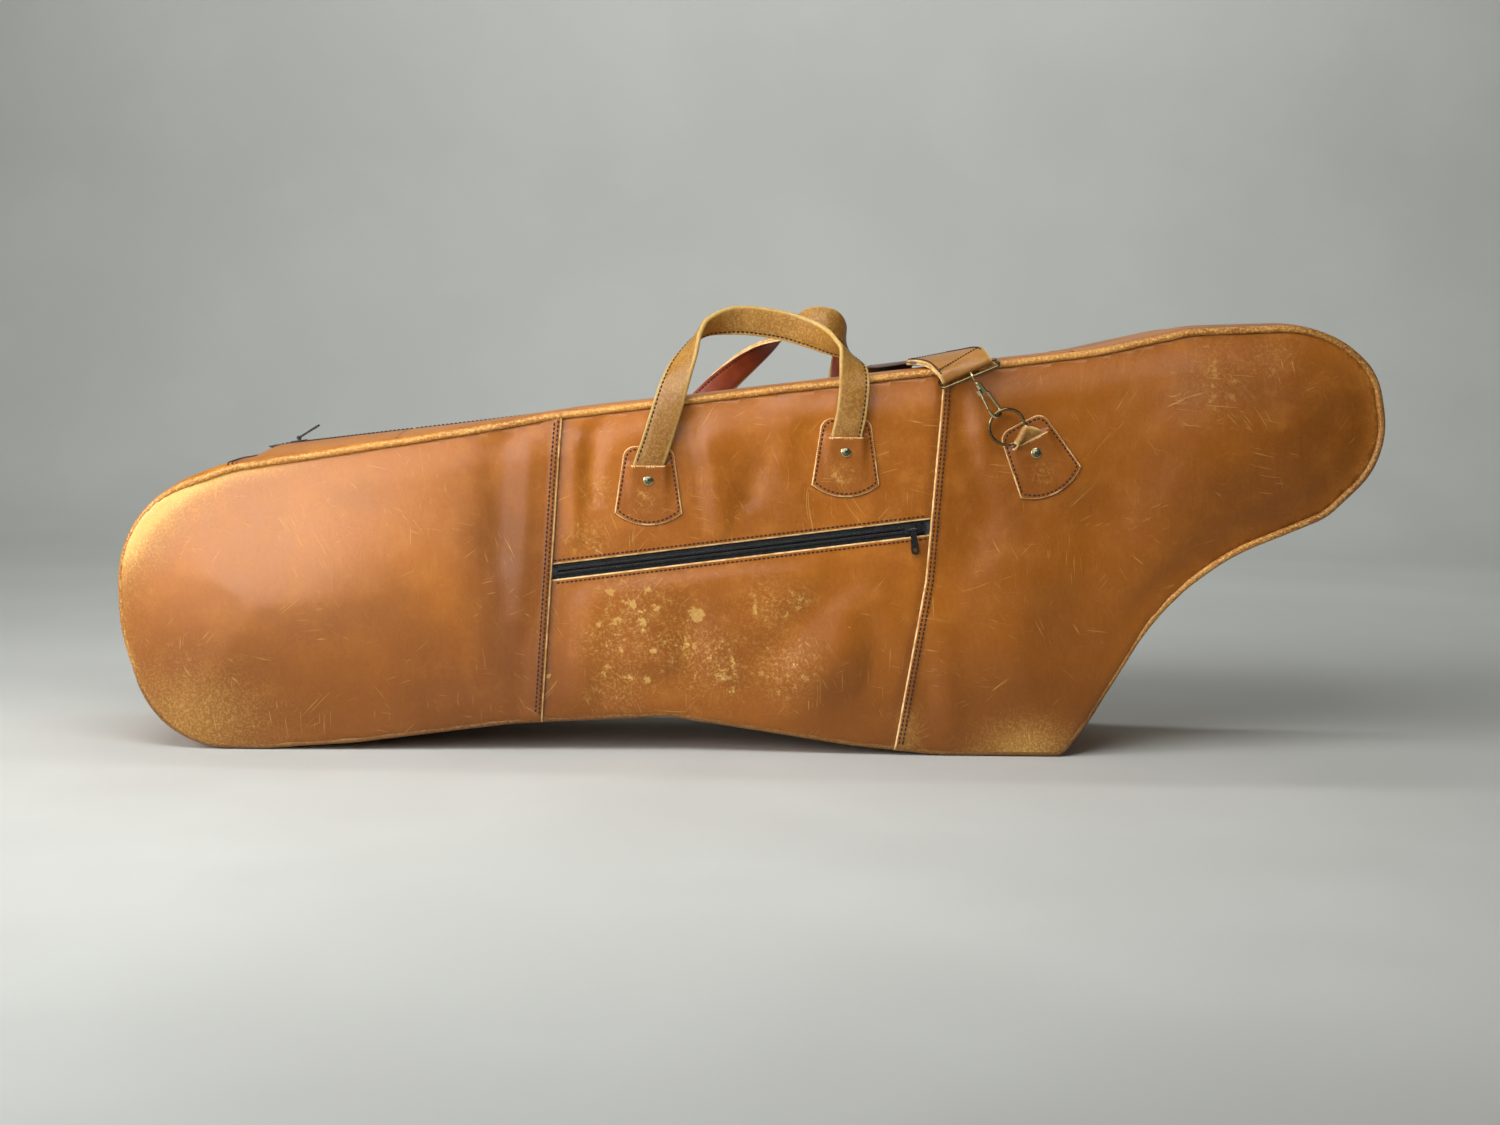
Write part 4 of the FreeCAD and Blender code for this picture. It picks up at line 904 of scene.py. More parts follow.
def arc_between(start, end, loop=EDGE):
    """Every second point of a closed outline, clockwise from the one nearest start to the one nearest end."""
    first = min(range(len(loop)), key=lambda i: (loop[i] - Vector(start)).length)
    last = min(range(len(loop)), key=lambda i: (loop[i] - Vector(end)).length)
    if last < first:
        last += len(loop)
    chosen = [loop[i % len(loop)] for i in range(first, last + 1)]
    return chosen[:-1:2] + [chosen[-1]]


def outward(points, i):
    """The direction out of a clockwise outline at its point i."""
    run = (points[min(i + 1, len(points) - 1)] - points[max(i - 1, 0)]).normalized()
    return Vector((-run.y, run.x))


def upright(flat):
    """A flat direction as one of space."""
    return Vector((flat.x, 0, flat.y))


def gusset_lift(p, y, zipped):
    """How far the gusset stands out from the outline."""
    width = abs(y)
    roll = -2.6 * float(smooth(width, 96.0, GUSSET_EDGE))
    high = float(smooth(p.y, 2.0, 40.0))
    if zipped:
        body = math.sin(math.pi * min(1.0, max(0.0, (width - SHOULDER) / (100.0 - SHOULDER))))
    else:
        body = 1 - (width / 100.0) ** 2 if width < 100 else 0.0
    soft = noise.noise(Vector((p.x * 0.012, y * 0.02, p.y * 0.012))) * 0.9
    corner = 2.6 * math.exp(-((p.x + 505) / 34) ** 2) * float(smooth(p.y, 150.0, 230.0))
    corner *= 1 - float(smooth(width, 99.0, GUSSET_EDGE))
    sag = 10.0 * math.exp(-((p.x + 60) / 95) ** 4 - ((y - 40) / 42) ** 2) * (1 - float(smooth(p.y, 40.0, 80.0)))
    return roll + high * (2.4 * body + soft * body) + corner + sag


def shell(name, columns, outs, depth_at, materials, body="root"):
    """A soft strip from rows of points on its outside, with an outward direction for each row.

    depth_at(y) is its thickness. Materials: outside, cut edge beside the zip, inside."""
    grid = np.array([[list(p) for p in column] for column in columns])
    normal = np.cross(np.gradient(grid, axis=1), np.gradient(grid, axis=0))
    normal /= np.linalg.norm(normal, axis=2)[:, :, None]
    if (normal * np.array([list(out) for out in outs])[:, None, :]).sum() < 0:
        normal = -normal
    depths = np.array([[depth_at(abs(p[1])) for p in column] for column in grid])
    back = grid - normal * depths[:, :, None]
    long, wide = grid.shape[:2]
    vertices = np.vstack([grid.reshape(-1, 3), back.reshape(-1, 3)])
    vertices[:, 2] = np.maximum(vertices[:, 2], 0.1)
    inner = long * wide
    faces, indices = [], []
    for i in range(long - 1):
        for a in range(i * wide, i * wide + wide - 1):
            faces += [(a, a + 1, a + 1 + wide, a + wide),
                      (a + inner, a + wide + inner, a + 1 + wide + inner, a + 1 + inner)]
            indices += [0, 2]
    for i in range(long - 1):
        for k in (0, wide - 1):
            a = i * wide + k
            faces.append((a, a + wide, a + wide + inner, a + inner))
            indices.append(1 if abs(grid[i, k, 1]) < 20 else 0)
    faces += [(a, a + 1, a + 1 + inner, a + inner)
              for k in range(wide - 1) for a in (k, (long - 1) * wide + k)]
    indices += [0] * (2 * (wide - 1))
    return tidy_normals(make_object(name, vertices, faces, materials, indices, body))


def depth_of(foam, reach, ramp, zipped):
    """Thickness by distance from the middle plane: foam, but leather alone at the welts and the zip."""
    def depth(width):
        beside_zip = float(smooth(width, SHOULDER, SHOULDER + ramp)) if zipped else 1.0
        return LEATHER + foam * float(smooth(reach - width, 0.0, ramp)) * beside_zip
    return depth


MOUTH_DEPTH = depth_of(3.4, 102.0, 4.0, True)


def gusset_piece(name, start, end, y_low=-GUSSET_EDGE, y_high=GUSSET_EDGE, zipped=False):
    """Gusset leather along the outline from start to end."""
    points = arc_between(start, end)
    count = max(6, round((y_high - y_low) / 6))
    across = [y_low + (y_high - y_low) * k / count for k in range(count + 1)]
    beside_welt = [96, 98.5, 100.5, 102.5, GUSSET_EDGE]
    if y_high > 100:
        across = [y for y in across if y < 95] + beside_welt
    if y_low < -100:
        across = [-y for y in beside_welt[::-1]] + [y for y in across if y > -95]
    if zipped:
        beside_zip = [ZIP_OPENING, 9.6, 12.5, SHOULDER, 19.0, 22.0]
        across = sorted([y for y in across if abs(y) > 25] + [y if y_high > 0 else -y for y in beside_zip])
    columns = []
    outs = [outward(points, i) for i in range(len(points))]
    for p, out in zip(points, outs):
        spots = [p + out * gusset_lift(p, y, zipped) for y in across]
        columns.append([Vector((spot.x, y, max(spot.y, 0.15))) for spot, y in zip(spots, across)])
    depth = depth_of(4.6 if zipped else 5.2, 99.0, 5.0, zipped)
    piece = shell(name, columns, [upright(out) for out in outs], depth, [GUSSET, RAW, LINING])
    return piece


def gusset_rows(at, gaps):
    """Rows of stitches across the gusset, each a distance along the outline from a point."""
    nearest = min(range(len(EDGE)), key=lambda i: (EDGE[i] - Vector(at)).length)
    rows = []
    for gap in gaps:
        i = (nearest + round(gap / 2.0)) % len(EDGE)
        run = (EDGE[(i + 1) % len(EDGE)] - EDGE[i - 1]).normalized()
        out = Vector((-run.y, run.x))
        across = np.arange(-102, 102.1, 3.0)
        spots = [EDGE[i] + out * (gusset_lift(EDGE[i], y, False) + 0.15) for y in across]
        rows.append([(Vector((spot.x, y, spot.y)), upright(out)) for spot, y in zip(spots, across)])
    return rows


def make_gusset():
    """The gusset all round but for the mouth and the crown."""
    top_seam = (CROWN_START, top_height(CROWN_START))
    piece = gusset_piece("end_gusset_leather", HEEL_SEAM, top_seam)
    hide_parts("end_gusset")
    piece = gusset_piece("bottom_gusset_leather", NOSE_SEAM, HEEL_SEAM)
    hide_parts("bottom_gusset", "gusset_padding")
    mouth_end = (MOUTH[1] + 0.3, top_height(MOUTH[1]))
    for name, low, high in (("front", -GUSSET_EDGE, -ZIP_OPENING), ("rear", ZIP_OPENING, GUSSET_EDGE)):
        piece = gusset_piece(f"nose_gusset_{name}_leather", mouth_end, ZIP_NOSE_END, low, high, True)
        if name == "front":
            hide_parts("zip_gusset_right", "nose_padding")
    gusset_piece("nose_gusset_lower_leather", ZIP_NOSE_END, NOSE_SEAM)
    rows = gusset_rows(HEEL_SEAM, (-4, -8)) + gusset_rows(NOSE_SEAM, (4, 8)) + gusset_rows(top_seam, (-3, -7))
    stitches("gusset_seam_stitches", rows)


# ---------------------------------------------------------------- linings

def quilted(u, v):
    """Puffs of 0 to 1 between diagonal rows of stitches."""
    first = np.abs(np.sin(math.pi * (u + v) / QUILT_PITCH))
    second = np.abs(np.sin(math.pi * (u - v) / QUILT_PITCH))
    return np.sqrt(np.minimum(first, second))


def face_lining(name, side):
    """Quilted cloth inside a face, flat near the mouth, where the open flaps hang against it."""
    points, faces = triangulate(dense(outline(9.4), 7.0), 7.0)
    x, z = xz(points)
    below_flaps = smooth(np.array([top_height(a) for a in x]) - z, 112.0, 130.0)
    puff = 1.5 * quilted(x, z) * smooth(edge_distance(x, z), 12.0, 28.0) * below_flaps
    back, front = side * LINING_BACK_Y, side * (LINING_Y - puff)
    piece = face_slab(name + "_quilted_lining", points, faces, back, front, [LINING])
    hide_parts(name + "_lining")


def make_gusset_lining():
    """Quilted cloth inside the gusset, from the nose seam round the bottom to the crown."""
    points = arc_between(NOSE_SEAM, (CROWN_START, top_height(CROWN_START)), outline(7.7, 3.0))
    half = LINING_Y - 0.3
    columns, outs = [], [outward(points, i) for i in range(len(points))]
    for p, out, at in zip(points, outs, lengths(points)):
        column = []
        for y in np.linspace(-half, half, 33):
            spot = p - out * (1.4 * float(quilted(at, y)) * float(smooth(half - abs(y), 2.0, 16.0)))
            column.append(Vector((spot.x, y, spot.y)))
        columns.append(column)
    outs = [upright(out) for out in outs]
    piece = shell("gusset_quilted_lining", columns, outs, lambda width: 0.8, [LINING, LINING, LINING])
    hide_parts("gusset_lining")


# ---------------------------------------------------------------- mouth and crown

def mouth_top(x, y, crest):
    """Height of the leather between the welt and the zip at x."""
    width = abs(y)
    edge = top_height(x)
    if width <= SHOULDER:
        return crest
    share = (GUSSET_EDGE - width) / (GUSSET_EDGE - SHOULDER)
    rise = edge + (crest - edge) * float(smooth(share, 0.0, 1.0) * 0.5 + share * 0.5)
    puff = 1.8 * math.sin(math.pi * min(1.0, share * 1.08))
    roll = -2.6 * float(smooth(width, 96.0, GUSSET_EDGE))
    soft = noise.noise(Vector((x * 0.012, y * 0.02, 7.0))) * 0.8 * math.sin(math.pi * min(1.0, share))
    return rise + puff + roll + soft


def mouth_shell(name, side, xs, crest_at, body="root"):
    """Leather from the welt to the zip over a run of x."""
    widths = [GUSSET_EDGE, 102.5, 100.5, 98.5, 96, 92, 88] + list(range(82, 20, -6)) + [SHOULDER, 12, ZIP_OPENING]
    columns = [[Vector((x, side * w, mouth_top(x, side * w, crest_at(x)))) for w in widths] for x in xs]
    if side > 0:
        columns = [column[::-1] for column in columns]
    piece = shell(name, columns, [UP] * len(xs), MOUTH_DEPTH, [GUSSET, RAW, LINING], body)
    return piece


def crest_row(side, xs, crest_at, lift):
    """A row of stitches beside the zip."""
    return [(Vector((x, side * (SHOULDER - CREST_STITCHES), crest_at(x) + lift)), UP) for x in xs]


def make_mouth():
    """The two flaps of the mouth. Their leather bends at its fold line."""
    for name, side in SIDES:
        xs = np.linspace(MOUTH[0] - 0.2, MOUTH[1] - 0.3, 106)
        piece = mouth_shell(f"{name}_mouth_leather", side, xs, zip_height, None)
        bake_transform(piece)
        nodes = [f"{name}_flap_leather", f"{name}_flap_padding"]
        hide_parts(*(nodes if side > 0 else nodes + ["mouth_edges"]))
        row = crest_row(side, np.arange(MOUTH[0] + 2, MOUTH[1] - 3, 6.0), zip_height, 0.1)
        stitches(f"{name}_mouth_stitches", [row], f"{name}_flap")


def crown_crest(x):
    """The crest of the fixed left end rises from the gusset to the line of the zip."""
    low, high = top_height(CROWN_START) + 1.0, zip_height(x)
    return low + (high - low) * float(smooth(x, CROWN_START - 1.0, -456.0))


def make_crown():
    """The fixed left end of the zip's strip."""
    xs = np.linspace(CROWN_START, MOUTH[0] - 0.6, 39)
    for name, side in SIDES:
        piece = mouth_shell(f"crown_{name}_leather", side, xs, crown_crest)
        if side < 0:
            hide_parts("zip_gusset_left")
    rows = [crest_row(side, xs[xs > -470], crown_crest, 0.15) for _, side in SIDES]
    stitches("crown_stitches", rows)


def chain_ridges(name, points, outs, sides, body="root"):
    """The round turns of a zip's coil, in turn from either side; points and outs run along the chain."""
    total = lengths(points)
    point_at, out_at = sampler(points, total), sampler(outs, total)
    vertices, faces = [], []
    for side in sides:
        for i in range(int(total[-1] / CHAIN_PITCH)):
            at = CHAIN_PITCH * (i + 0.25 + 0.5 * (side > 0))
            centre, out = point_at(at), out_at(at).normalized()
            run = (point_at(at + 0.5) - centre).normalized()
            across = out.cross(run) * side
            loft([[centre + across * reach + run * (radius * math.cos(t)) + out * (0.28 + radius * math.sin(t))
                   for t in (math.pi * k / 3 for k in range(6))]
                  for reach, radius in ((0.58, 0.25), (0.95, 0.56), (2.7, 0.56), (3.3, 0.3))], vertices, faces)
    tidy_normals(make_object(name, vertices, faces, [NYLON], None, body))


def make_zip_chains():
    """Coils on the pocket zip and on the three runs of the main zip."""
    start, end = (Vector((x, -HALF_DEPTH + 0.1, z)) for x, z in POCKET_ZIP)
    run = (end - start).normalized()
    both = (-1, 1)
    chain_ridges("pocket_chain_turns", [start + run * 6, end - run * 6], [Vector((0, -1, 0))] * 2, both)
    up = Vector((zip_height(0.0) - zip_height(1.0), 0, 1)).normalized()

    def on_top(*xs):
        return [Vector((x, 0, zip_height(x) - 0.4)) for x in xs]

    for name, side in SIDES:
        line = on_top(MOUTH[0] + 2.0, MOUTH[1] - 3.4)
        chain_ridges(f"{name}_mouth_turns", line, [up, up], (side,), f"{name}_flap")
    chain_ridges("crown_turns", on_top(-467.0, MOUTH[0] - 1.4), [up, up], both)
    arc = arc_between((MOUTH[1] + 1, top_height(MOUTH[1])), ZIP_NOSE_END)
    outs = [upright(outward(arc, i)) for i in range(len(arc))]
    points = [upright(p) - out * 0.9 for p, out in zip(arc, outs)]
    chain_ridges("nose_turns", points[2:-2], outs[2:-2], both)


# ---------------------------------------------------------------- straps, patches and handles

def spline(points, count):
    """Points evenly spread on a smooth curve through the given ones; each is a tuple of numbers."""
    points = np.array(points, float)
    padded = np.vstack([2 * points[0] - points[1], points, 2 * points[-1] - points[-2]])
    curve = []
    for i in range(1, len(padded) - 2):
        a, b, c, d = padded[i - 1:i + 3]
        for t in np.linspace(0, 1, 12, endpoint=False):
            curve.append(0.5 * (2 * b + (c - a) * t + (2 * a - 5 * b + 4 * c - d) * t ** 2
                                + (3 * b - a - 3 * c + d) * t ** 3))
    curve.append(points[-1])
    curve = np.array(curve)
    travel = np.concatenate([[0], np.cumsum(np.linalg.norm(np.diff(curve[:, :3], axis=0), axis=1))])
    even = np.linspace(0, travel[-1], count)
    return np.column_stack([np.interp(even, travel, curve[:, k]) for k in range(curve.shape[1])])


def strap_frames(stations):
    """For each station: centre, across and out directions."""
    centre = [Vector(p[:3]) for p in stations]
    result = []
    for i, here in enumerate(centre):
        tangent = (centre[min(i + 1, len(centre) - 1)] - centre[max(i - 1, 0)]).normalized()
        across = Vector(stations[i][3:6])
        across = (across - tangent * across.dot(tangent)).normalized()
        result.append((here, across, tangent.cross(across)))
    return result


def strap(name, stations, section, materials, indices, body="root"):
    """A strap along stations of (point, across direction, width).

    section(width, i) gives its (across, out) points, and indices the materials of its sides."""
    rings, wear, vertices, faces = [], [], [], []
    for i, (centre, across, out) in enumerate(strap_frames(stations)):
        ring = section(stations[i][6], i)
        rings.append([centre + across * a + out * b for a, b in ring])
        wear += [abs(stations[i][6] / 2) - abs(a) for a, b in ring]
    loft(rings, vertices, faces)
    indices = list(indices) * (len(rings) - 1) + [min(1, max(indices))] * 2
    piece = tidy_normals(make_object(name, vertices, faces, materials, indices, body))
    set_attribute(piece, "edge", wear)
    return piece


# Middles of the handles, and the directions from their folded to their sewn edge.
FRONT_HANDLE = [
    (-96.5, -111.6, 247, -1, 0, 0), (-96, -114.0, 259, -1, 0, 0), (-95, -117.0, 271, -1, 0, 0),
    (-90, -118.3, 285, -1, 0, 0), (-84, -118.6, 304, -1, 0, 0),
    (-77, -118, 327, -0.98, 0.1, 0.2), (-68, -114, 355, -0.8, 0.5, 0.25),
    (-59, -105, 376, -0.45, 0.85, 0.2), (-51, -96, 392, -0.1, 0.98, -0.1),
    (-39, -87, 402, 0.1, 0.85, -0.5), (-12, -79, 407, 0, 0.35, -0.93),
    (26, -75, 403, -0.1, 0.3, -0.95), (54, -80, 395, -0.25, 0.45, -0.85),
    (74, -92, 386, -0.2, 0.8, -0.5), (87, -105, 378, 0.15, 0.97, -0.1),
    (93, -116, 364, 0.75, 0.5, 0.1), (94.5, -120.2, 347, 1, 0.03, 0),
    (93.5, -119.8, 333, 1, 0, 0), (92, -119, 319, 1, 0, 0),
    (88, -117.0, 299, 1, 0, 0), (87, -114.0, 287, 1, 0, 0), (86.5, -111.6, 275, 1, 0, 0),
]
REAR_HANDLE = [
    (-96.5, 111.6, 247, -1, 0, 0), (-96, 114.0, 259, -1, 0, 0), (-95, 117.0, 271, -1, 0, 0),
    (-86, 118.4, 285, -1, 0, 0), (-68, 118.8, 308, -1, 0, 0),
    (-42, 118.6, 336, -0.9, 0, 0.5), (-12, 111, 364, -0.6, -0.5, 0.6),
    (14, 97, 385, -0.3, -0.8, 0.3), (38, 82, 402, 0, -0.8, -0.4),
    (60, 70, 412, 0, -0.4, -0.9), (79, 70, 410, -0.5, -0.4, -0.8),
    (91, 82, 399, -0.4, -0.9, -0.3), (94.5, 98, 384, 0.3, -0.95, 0),
    (94.5, 113, 368, 0.8, -0.5, 0), (93, 120.4, 350, 1, -0.03, 0),
    (91.5, 120, 334, 1, 0, 0), (89, 119, 319, 1, 0, 0),
    (88, 117.0, 299, 1, 0, 0), (87, 114.0, 287, 1, 0, 0), (86.5, 111.6, 275, 1, 0, 0),
]


def handle_section(width, i):
    """Two layers of leather: folded at one edge, cut and sewn at the other."""
    half, thick = width / 2, 2.5
    swell = 0.25 * noise.noise(Vector((i * 0.21, width, 0)))
    fold = [(-half + thick + thick * math.cos(a), thick * math.sin(a))
            for a in np.linspace(math.pi * 1.5, math.pi * 0.5, 7)]
    top = [(-half * 0.4, thick + 0.25 + swell), (half * 0.3, thick + 0.2), (half - 4.2, thick),
           (half - 3.0, thick - 0.45), (half - 1.6, thick), (half - 0.25, thick - 0.1)]
    edge = [(half, thick - 0.4), (half, 0.45), (half - 0.9, 0.0), (half, -0.45), (half, -thick + 0.4)]
    low = [(a, -b) for a, b in reversed(top)]
    return fold + top + edge + low


# Which sides of the section are leather, 0, raw edge, 1, and a darker red copy of the leather that paints shade, 2.
FRONT_INDICES = [0] * 6 + [0] * 6 + [0, 1, 1, 1, 1] + [0] * 7
REAR_INDICES = [0] * 6 + [2] * 6 + [2, 1, 1, 1, 1] + [0] * 7


def make_handle(name, side, points):
    """A handle that bends at its two slots."""
    line = spline([p + (HANDLE_WIDTH,) for p in points], 120)
    (_, left_slot), (_, right_slot) = HANDLE_SLOTS
    indices = FRONT_INDICES if side < 0 else REAR_INDICES
    piece = strap(name + "_leather", line, handle_section, [PALE, RAW, SHADED_HANDLE_RED], indices, None)
    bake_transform(piece)
    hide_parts(name)
    heights = np.array([v.co.z for v in piece.data.vertices]) / MM
    # Painted shade: the handle drawn darker down its legs.
    set_attribute(piece, "painted_shade", 0.30 * (1 - smooth(heights, 330.0, 405.0)))
    frames = [f for f in strap_frames(line) if f[0].z > (left_slot if f[0].x < 0 else right_slot)[1]]
    rows = [[(c + a * HANDLE_SEAM + o * (face * 2.15), o * face) for c, a, o in frames] for face in (-1, 1)]
    seam = stitches(name + "_stitches", rows, None)
    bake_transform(seam)


def arc_points(a, b, c, count):
    """Points from a through b to c on their circle."""
    (ax, ay), (bx, by), (cx, cy) = a, b, c
    squares = [ax * ax + ay * ay, bx * bx + by * by, cx * cx + cy * cy]
    d = 2 * (ax * (by - cy) + bx * (cy - ay) + cx * (ay - by))
    ux = (squares[0] * (by - cy) + squares[1] * (cy - ay) + squares[2] * (ay - by)) / d
    uy = (squares[0] * (cx - bx) + squares[1] * (ax - cx) + squares[2] * (bx - ax)) / d
    radius = math.hypot(ax - ux, ay - uy)
    first, middle, last = (math.atan2(y - uy, x - ux) for x, y in (a, b, c))
    full = 2 * math.pi
    end = next(last + turn for turn in (-full, 0, full) for mid_turn in (-full, 0, full)
               if min(first, last + turn) < middle + mid_turn < max(first, last + turn)
               and abs(last + turn - first) < full)
    return [Vector((ux + radius * math.cos(t), uy + radius * math.sin(t))) for t in np.linspace(first, end, count)]


RIVET_DOWN = -13.7  # y of a patch's rivet


def patch_outline(inset=0.0):
    """The rim of a patch, with its slot along y = 0."""
    low, sag, shoulder, top = -44.6 + inset, -55.8 + inset, 6.0, 17.7 - inset
    half_low, half_shoulder, half_top = 31.6 - inset, 24.2 - inset * 1.02, 12.0 - inset * 0.4
    points = arc_points((-half_low, low), (0, sag), (half_low, low), 22)
    points += [Vector((half_shoulder, shoulder))]
    bulge = (half_top + 9.2 - inset * 0.35, top - 3.6)
    points += arc_points((half_shoulder, shoulder), bulge, (half_top, top), 12)[1:]
    points += arc_points((-half_top, top), (-bulge[0], bulge[1]), (-half_shoulder, shoulder), 12)
    return dense(points, 2.0)


def patch_lift(x, y, strap_half, strap_rise):
    """The patch rises over the end of the strap that is sewn under it."""
    over = 1 - float(smooth(abs(x), strap_half + 0.5, strap_half + 7.5))
    below = math.exp(-(abs(y) / 17.0) ** 1.3) if y < 1.3 else 0.0
    return strap_rise * over * below


def make_patch(node, side, slot, up, strap_half, strap_rise):
    """A sewn leather patch. Its own x and y lie on the face, y towards the strap that it holds.

    Returns the rivet's place and direction."""
    out = Vector((0, side, 0))
    up = Vector((up[0], 0, up[1])).normalized()
    right = up.cross(out)
    origin = Vector((slot[0], side * (HALF_DEPTH - 0.1), slot[1]))
    boundary = patch_outline()
    half = strap_half + 2.0
    hole = dense([Vector((-half, 0)), Vector((half, 0)), Vector((half, 2.8)), Vector((-half, 2.8))], 2.0)
    rim_rows = [p for inset in (1.25, 2.6, 3.5) for p in dense(patch_outline(inset), 1.6)]
    slot_rows = [Vector((x, y)) for y in (-1.2, -2.6) for x in np.arange(-half, half + 0.1, 1.8)]
    points, faces = triangulate(boundary, 2.6, rim_rows + slot_rows, [hole])
    edge_loop = np.array([tuple(p) for p in boundary])
    top, bottom, wear = [], [], []
    for p in points:
        depth = float(np.hypot(*(edge_loop - np.array(tuple(p))).T).min())
        thick = (1.5 if p.y > 2 else 1.9) - 0.45 * math.exp(-depth / 0.5)
        thick -= 0.35 * math.exp(-((depth - 2.9) / 0.7) ** 2)
        lift = patch_lift(p.x, p.y, strap_half, strap_rise)
        dip = 0.5 * math.exp(-(p.x ** 2 + (p.y - RIVET_DOWN) ** 2) / 60)
        place = origin + right * p.x + up * p.y
        top.append(place + out * (thick + lift - dip))
        bottom.append(place + out * max(0.0, lift - dip))
        wear.append(depth)
    vertices, all_faces, indices = slab_from(points, faces, top, bottom)
    # Faces beside a cut edge show raw leather.
    for i, face in enumerate(faces):
        middle = sum((points[k] for k in face), Vector((0, 0))) / len(face)
        beside_slot = abs(middle.x) < half and -1.2 < middle.y < 0.3
        if sum(wear[k] for k in face) / len(face) < 0.85 or beside_slot:
            indices[i] = 1
    piece = tidy_normals(make_object(node + "_leather", vertices, all_faces, [PATCH, RAW], indices))
    set_attribute(piece, "edge", wear * 2)
    set_attribute(piece, "scuff", [0.8 * math.exp(-((p.x + 3) ** 2 + (p.y + 33) ** 2) / 90) for p in points] * 2)
    # Painted shade: the ring patch towards the neck drawn darker, like the face around it.
    set_attribute(piece, "painted_shade", [0.3 if slot[0] > 200 else 0.04] * (2 * len(points)))
    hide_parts(node)
    loop = patch_outline(3.0)
    row = [(origin + right * p.x + up * p.y
            + out * ((1.15 if p.y > 2 else 1.5) + patch_lift(p.x, p.y, strap_half, strap_rise)), out)
           for p in loop + loop[:1]]
    stitches(node + "_stitches", [row])
    lift = patch_lift(0, RIVET_DOWN, strap_half, strap_rise) - 0.5
    return origin + up * RIVET_DOWN + out * (1.9 + lift), out


def lathe(profile, origin, axis, vertices, faces, count=28):
    """Adds a turned shape to lists of vertices and faces; profile is (radius, height) from rim to middle."""
    axis = Vector(axis).normalized()
    side = axis.orthogonal().normalized()
    other = axis.cross(side)
    loft([circle(origin + axis * height, side, other, radius, count) for radius, height in profile], vertices, faces)


def make_rivets(heads):
    """Capped rivets with a pale rim."""
    vertices, faces = [], []
    count, rim_rings = 28, 4
    profile = [(4.2, -1.8), (4.9, -0.4), (5.0, 0.35), (4.6, 0.85), (4.1, 0.75),
               (3.7, 1.05), (2.6, 1.7), (1.3, 2.05), (0.3, 2.15)]
    for origin, out in heads:
        lathe(profile, origin, out, vertices, faces, count)
    per_head = (len(profile) - 1) * count + 2
    indices = [int(i % per_head < rim_rings * count) for i in range(len(faces))]
    piece = tidy_normals(make_object("rivet_caps", vertices, faces, [STEEL, PALE_BRASS], indices))
    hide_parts("patch_rivets")


def flat_section(thick, groove=0.0):
    """A section with rounded edges and, for two sewn layers, a groove along both edges."""
    def section(width, i):
        half, t = width / 2, thick / 2
        right = [(half - 0.35, t), (half, t - 0.35), (half, 0.3), (half - groove, 0.0), (half, -0.3),
                 (half, -t + 0.35), (half - 0.35, -t)]
        top = [(-half * 0.5, t), (0.0, t), (half * 0.5, t)]
        return [(-a, b) for a, b in reversed(right)] + top + right + [(a, -b) for a, b in reversed(top)]
    return section


FLAT_INDICES = [1, 1, 1, 1, 1, 1, 0, 0, 0, 0, 1, 1, 1, 1, 1, 1, 0, 0, 0, 0]


# The ends of the shoulder strap: face side, slot, patch direction, ring offset and pull, bar and tab.
STRAP_ENDS = {
    "front": {
        "side": -1, "slot": (258, 298), "up": (-0.469, 0.883), "ring": (-22, 12), "bar": (0.92, 0, 0.39),
        "tab": [(197.5, -117, 361.5), (193, -115, 368.5), (186, -101.5, 373), (178, -83, 373.8), (168, -60, 373)],
        "widths": [(0.92, 0, 0.39), (0.93, 0.02, 0.36), (0.95, 0.1, 0.29), (0.96, 0.17, 0.22), (0.96, 0.22, 0.18)],
    },
    "rear": {
        "side": 1, "slot": (-305, 235), "up": (0.6, 0.8), "ring": (23.5, 8.5), "bar": (0.36, 0, 0.933),
        "tab": [(-218.5, 121.5, 218.8), (-211.0, 121.9, 215.9), (-185.8, 122.7, 206.2), (-157.9, 123.5, 195.4)],
        "widths": [(0.36, 0, 0.933)] * 4,
    },
}


def make_ring_loop(name, end):
    """A narrow strap from the patch's slot round the ring and back."""
    side, out = end["side"], Vector((0, end["side"], 0))
    slot = Vector((end["slot"][0], side * HALF_DEPTH, end["slot"][1]))
    up = Vector((end["up"][0], 0, end["up"][1])).normalized()
    right = up.cross(out)
    centre = Vector((slot.x + end["ring"][0], side * (HALF_DEPTH + 9.4), slot.z + end["ring"][1]))
    inward = (Vector((slot.x, centre.y, slot.z)) - centre).normalized()
    inward = (inward - out * 0.13).normalized()
    wire = centre + inward * WIRE_FROM_CENTRE
    tangent = out.cross(inward).normalized()
    if tangent.dot(right) < 0:
        tangent = -tangent
    normal = inward.cross(tangent).normalized()
    if normal.dot(out) < 0:
        normal = -normal
    slot = slot - right * 2.0

    def at_slot(along, lift, width):
        return (*(slot + up * along + out * lift), *right, width)

    stations = [at_slot(-9, 1.2, 30.0), at_slot(-2, 3.2, 30.0), at_slot(1.6, 4.6, 30.0)]
    for angle in (75, 110, 145, 180, 215, 250, 285):
        turn = math.radians(angle)
        spot = wire + inward * (LOOP_BEND * math.cos(turn)) + normal * (LOOP_BEND * math.sin(turn))
        stations.append((*spot, *tangent, 20.0))
    stations += [at_slot(2.2, 1.0, 28.0), at_slot(-3, -0.6, 26.0)]
    piece = strap(name + "_ring_loop_leather", spline(stations, 44), flat_section(1.8), [PALE, RAW], FLAT_INDICES)
    return piece


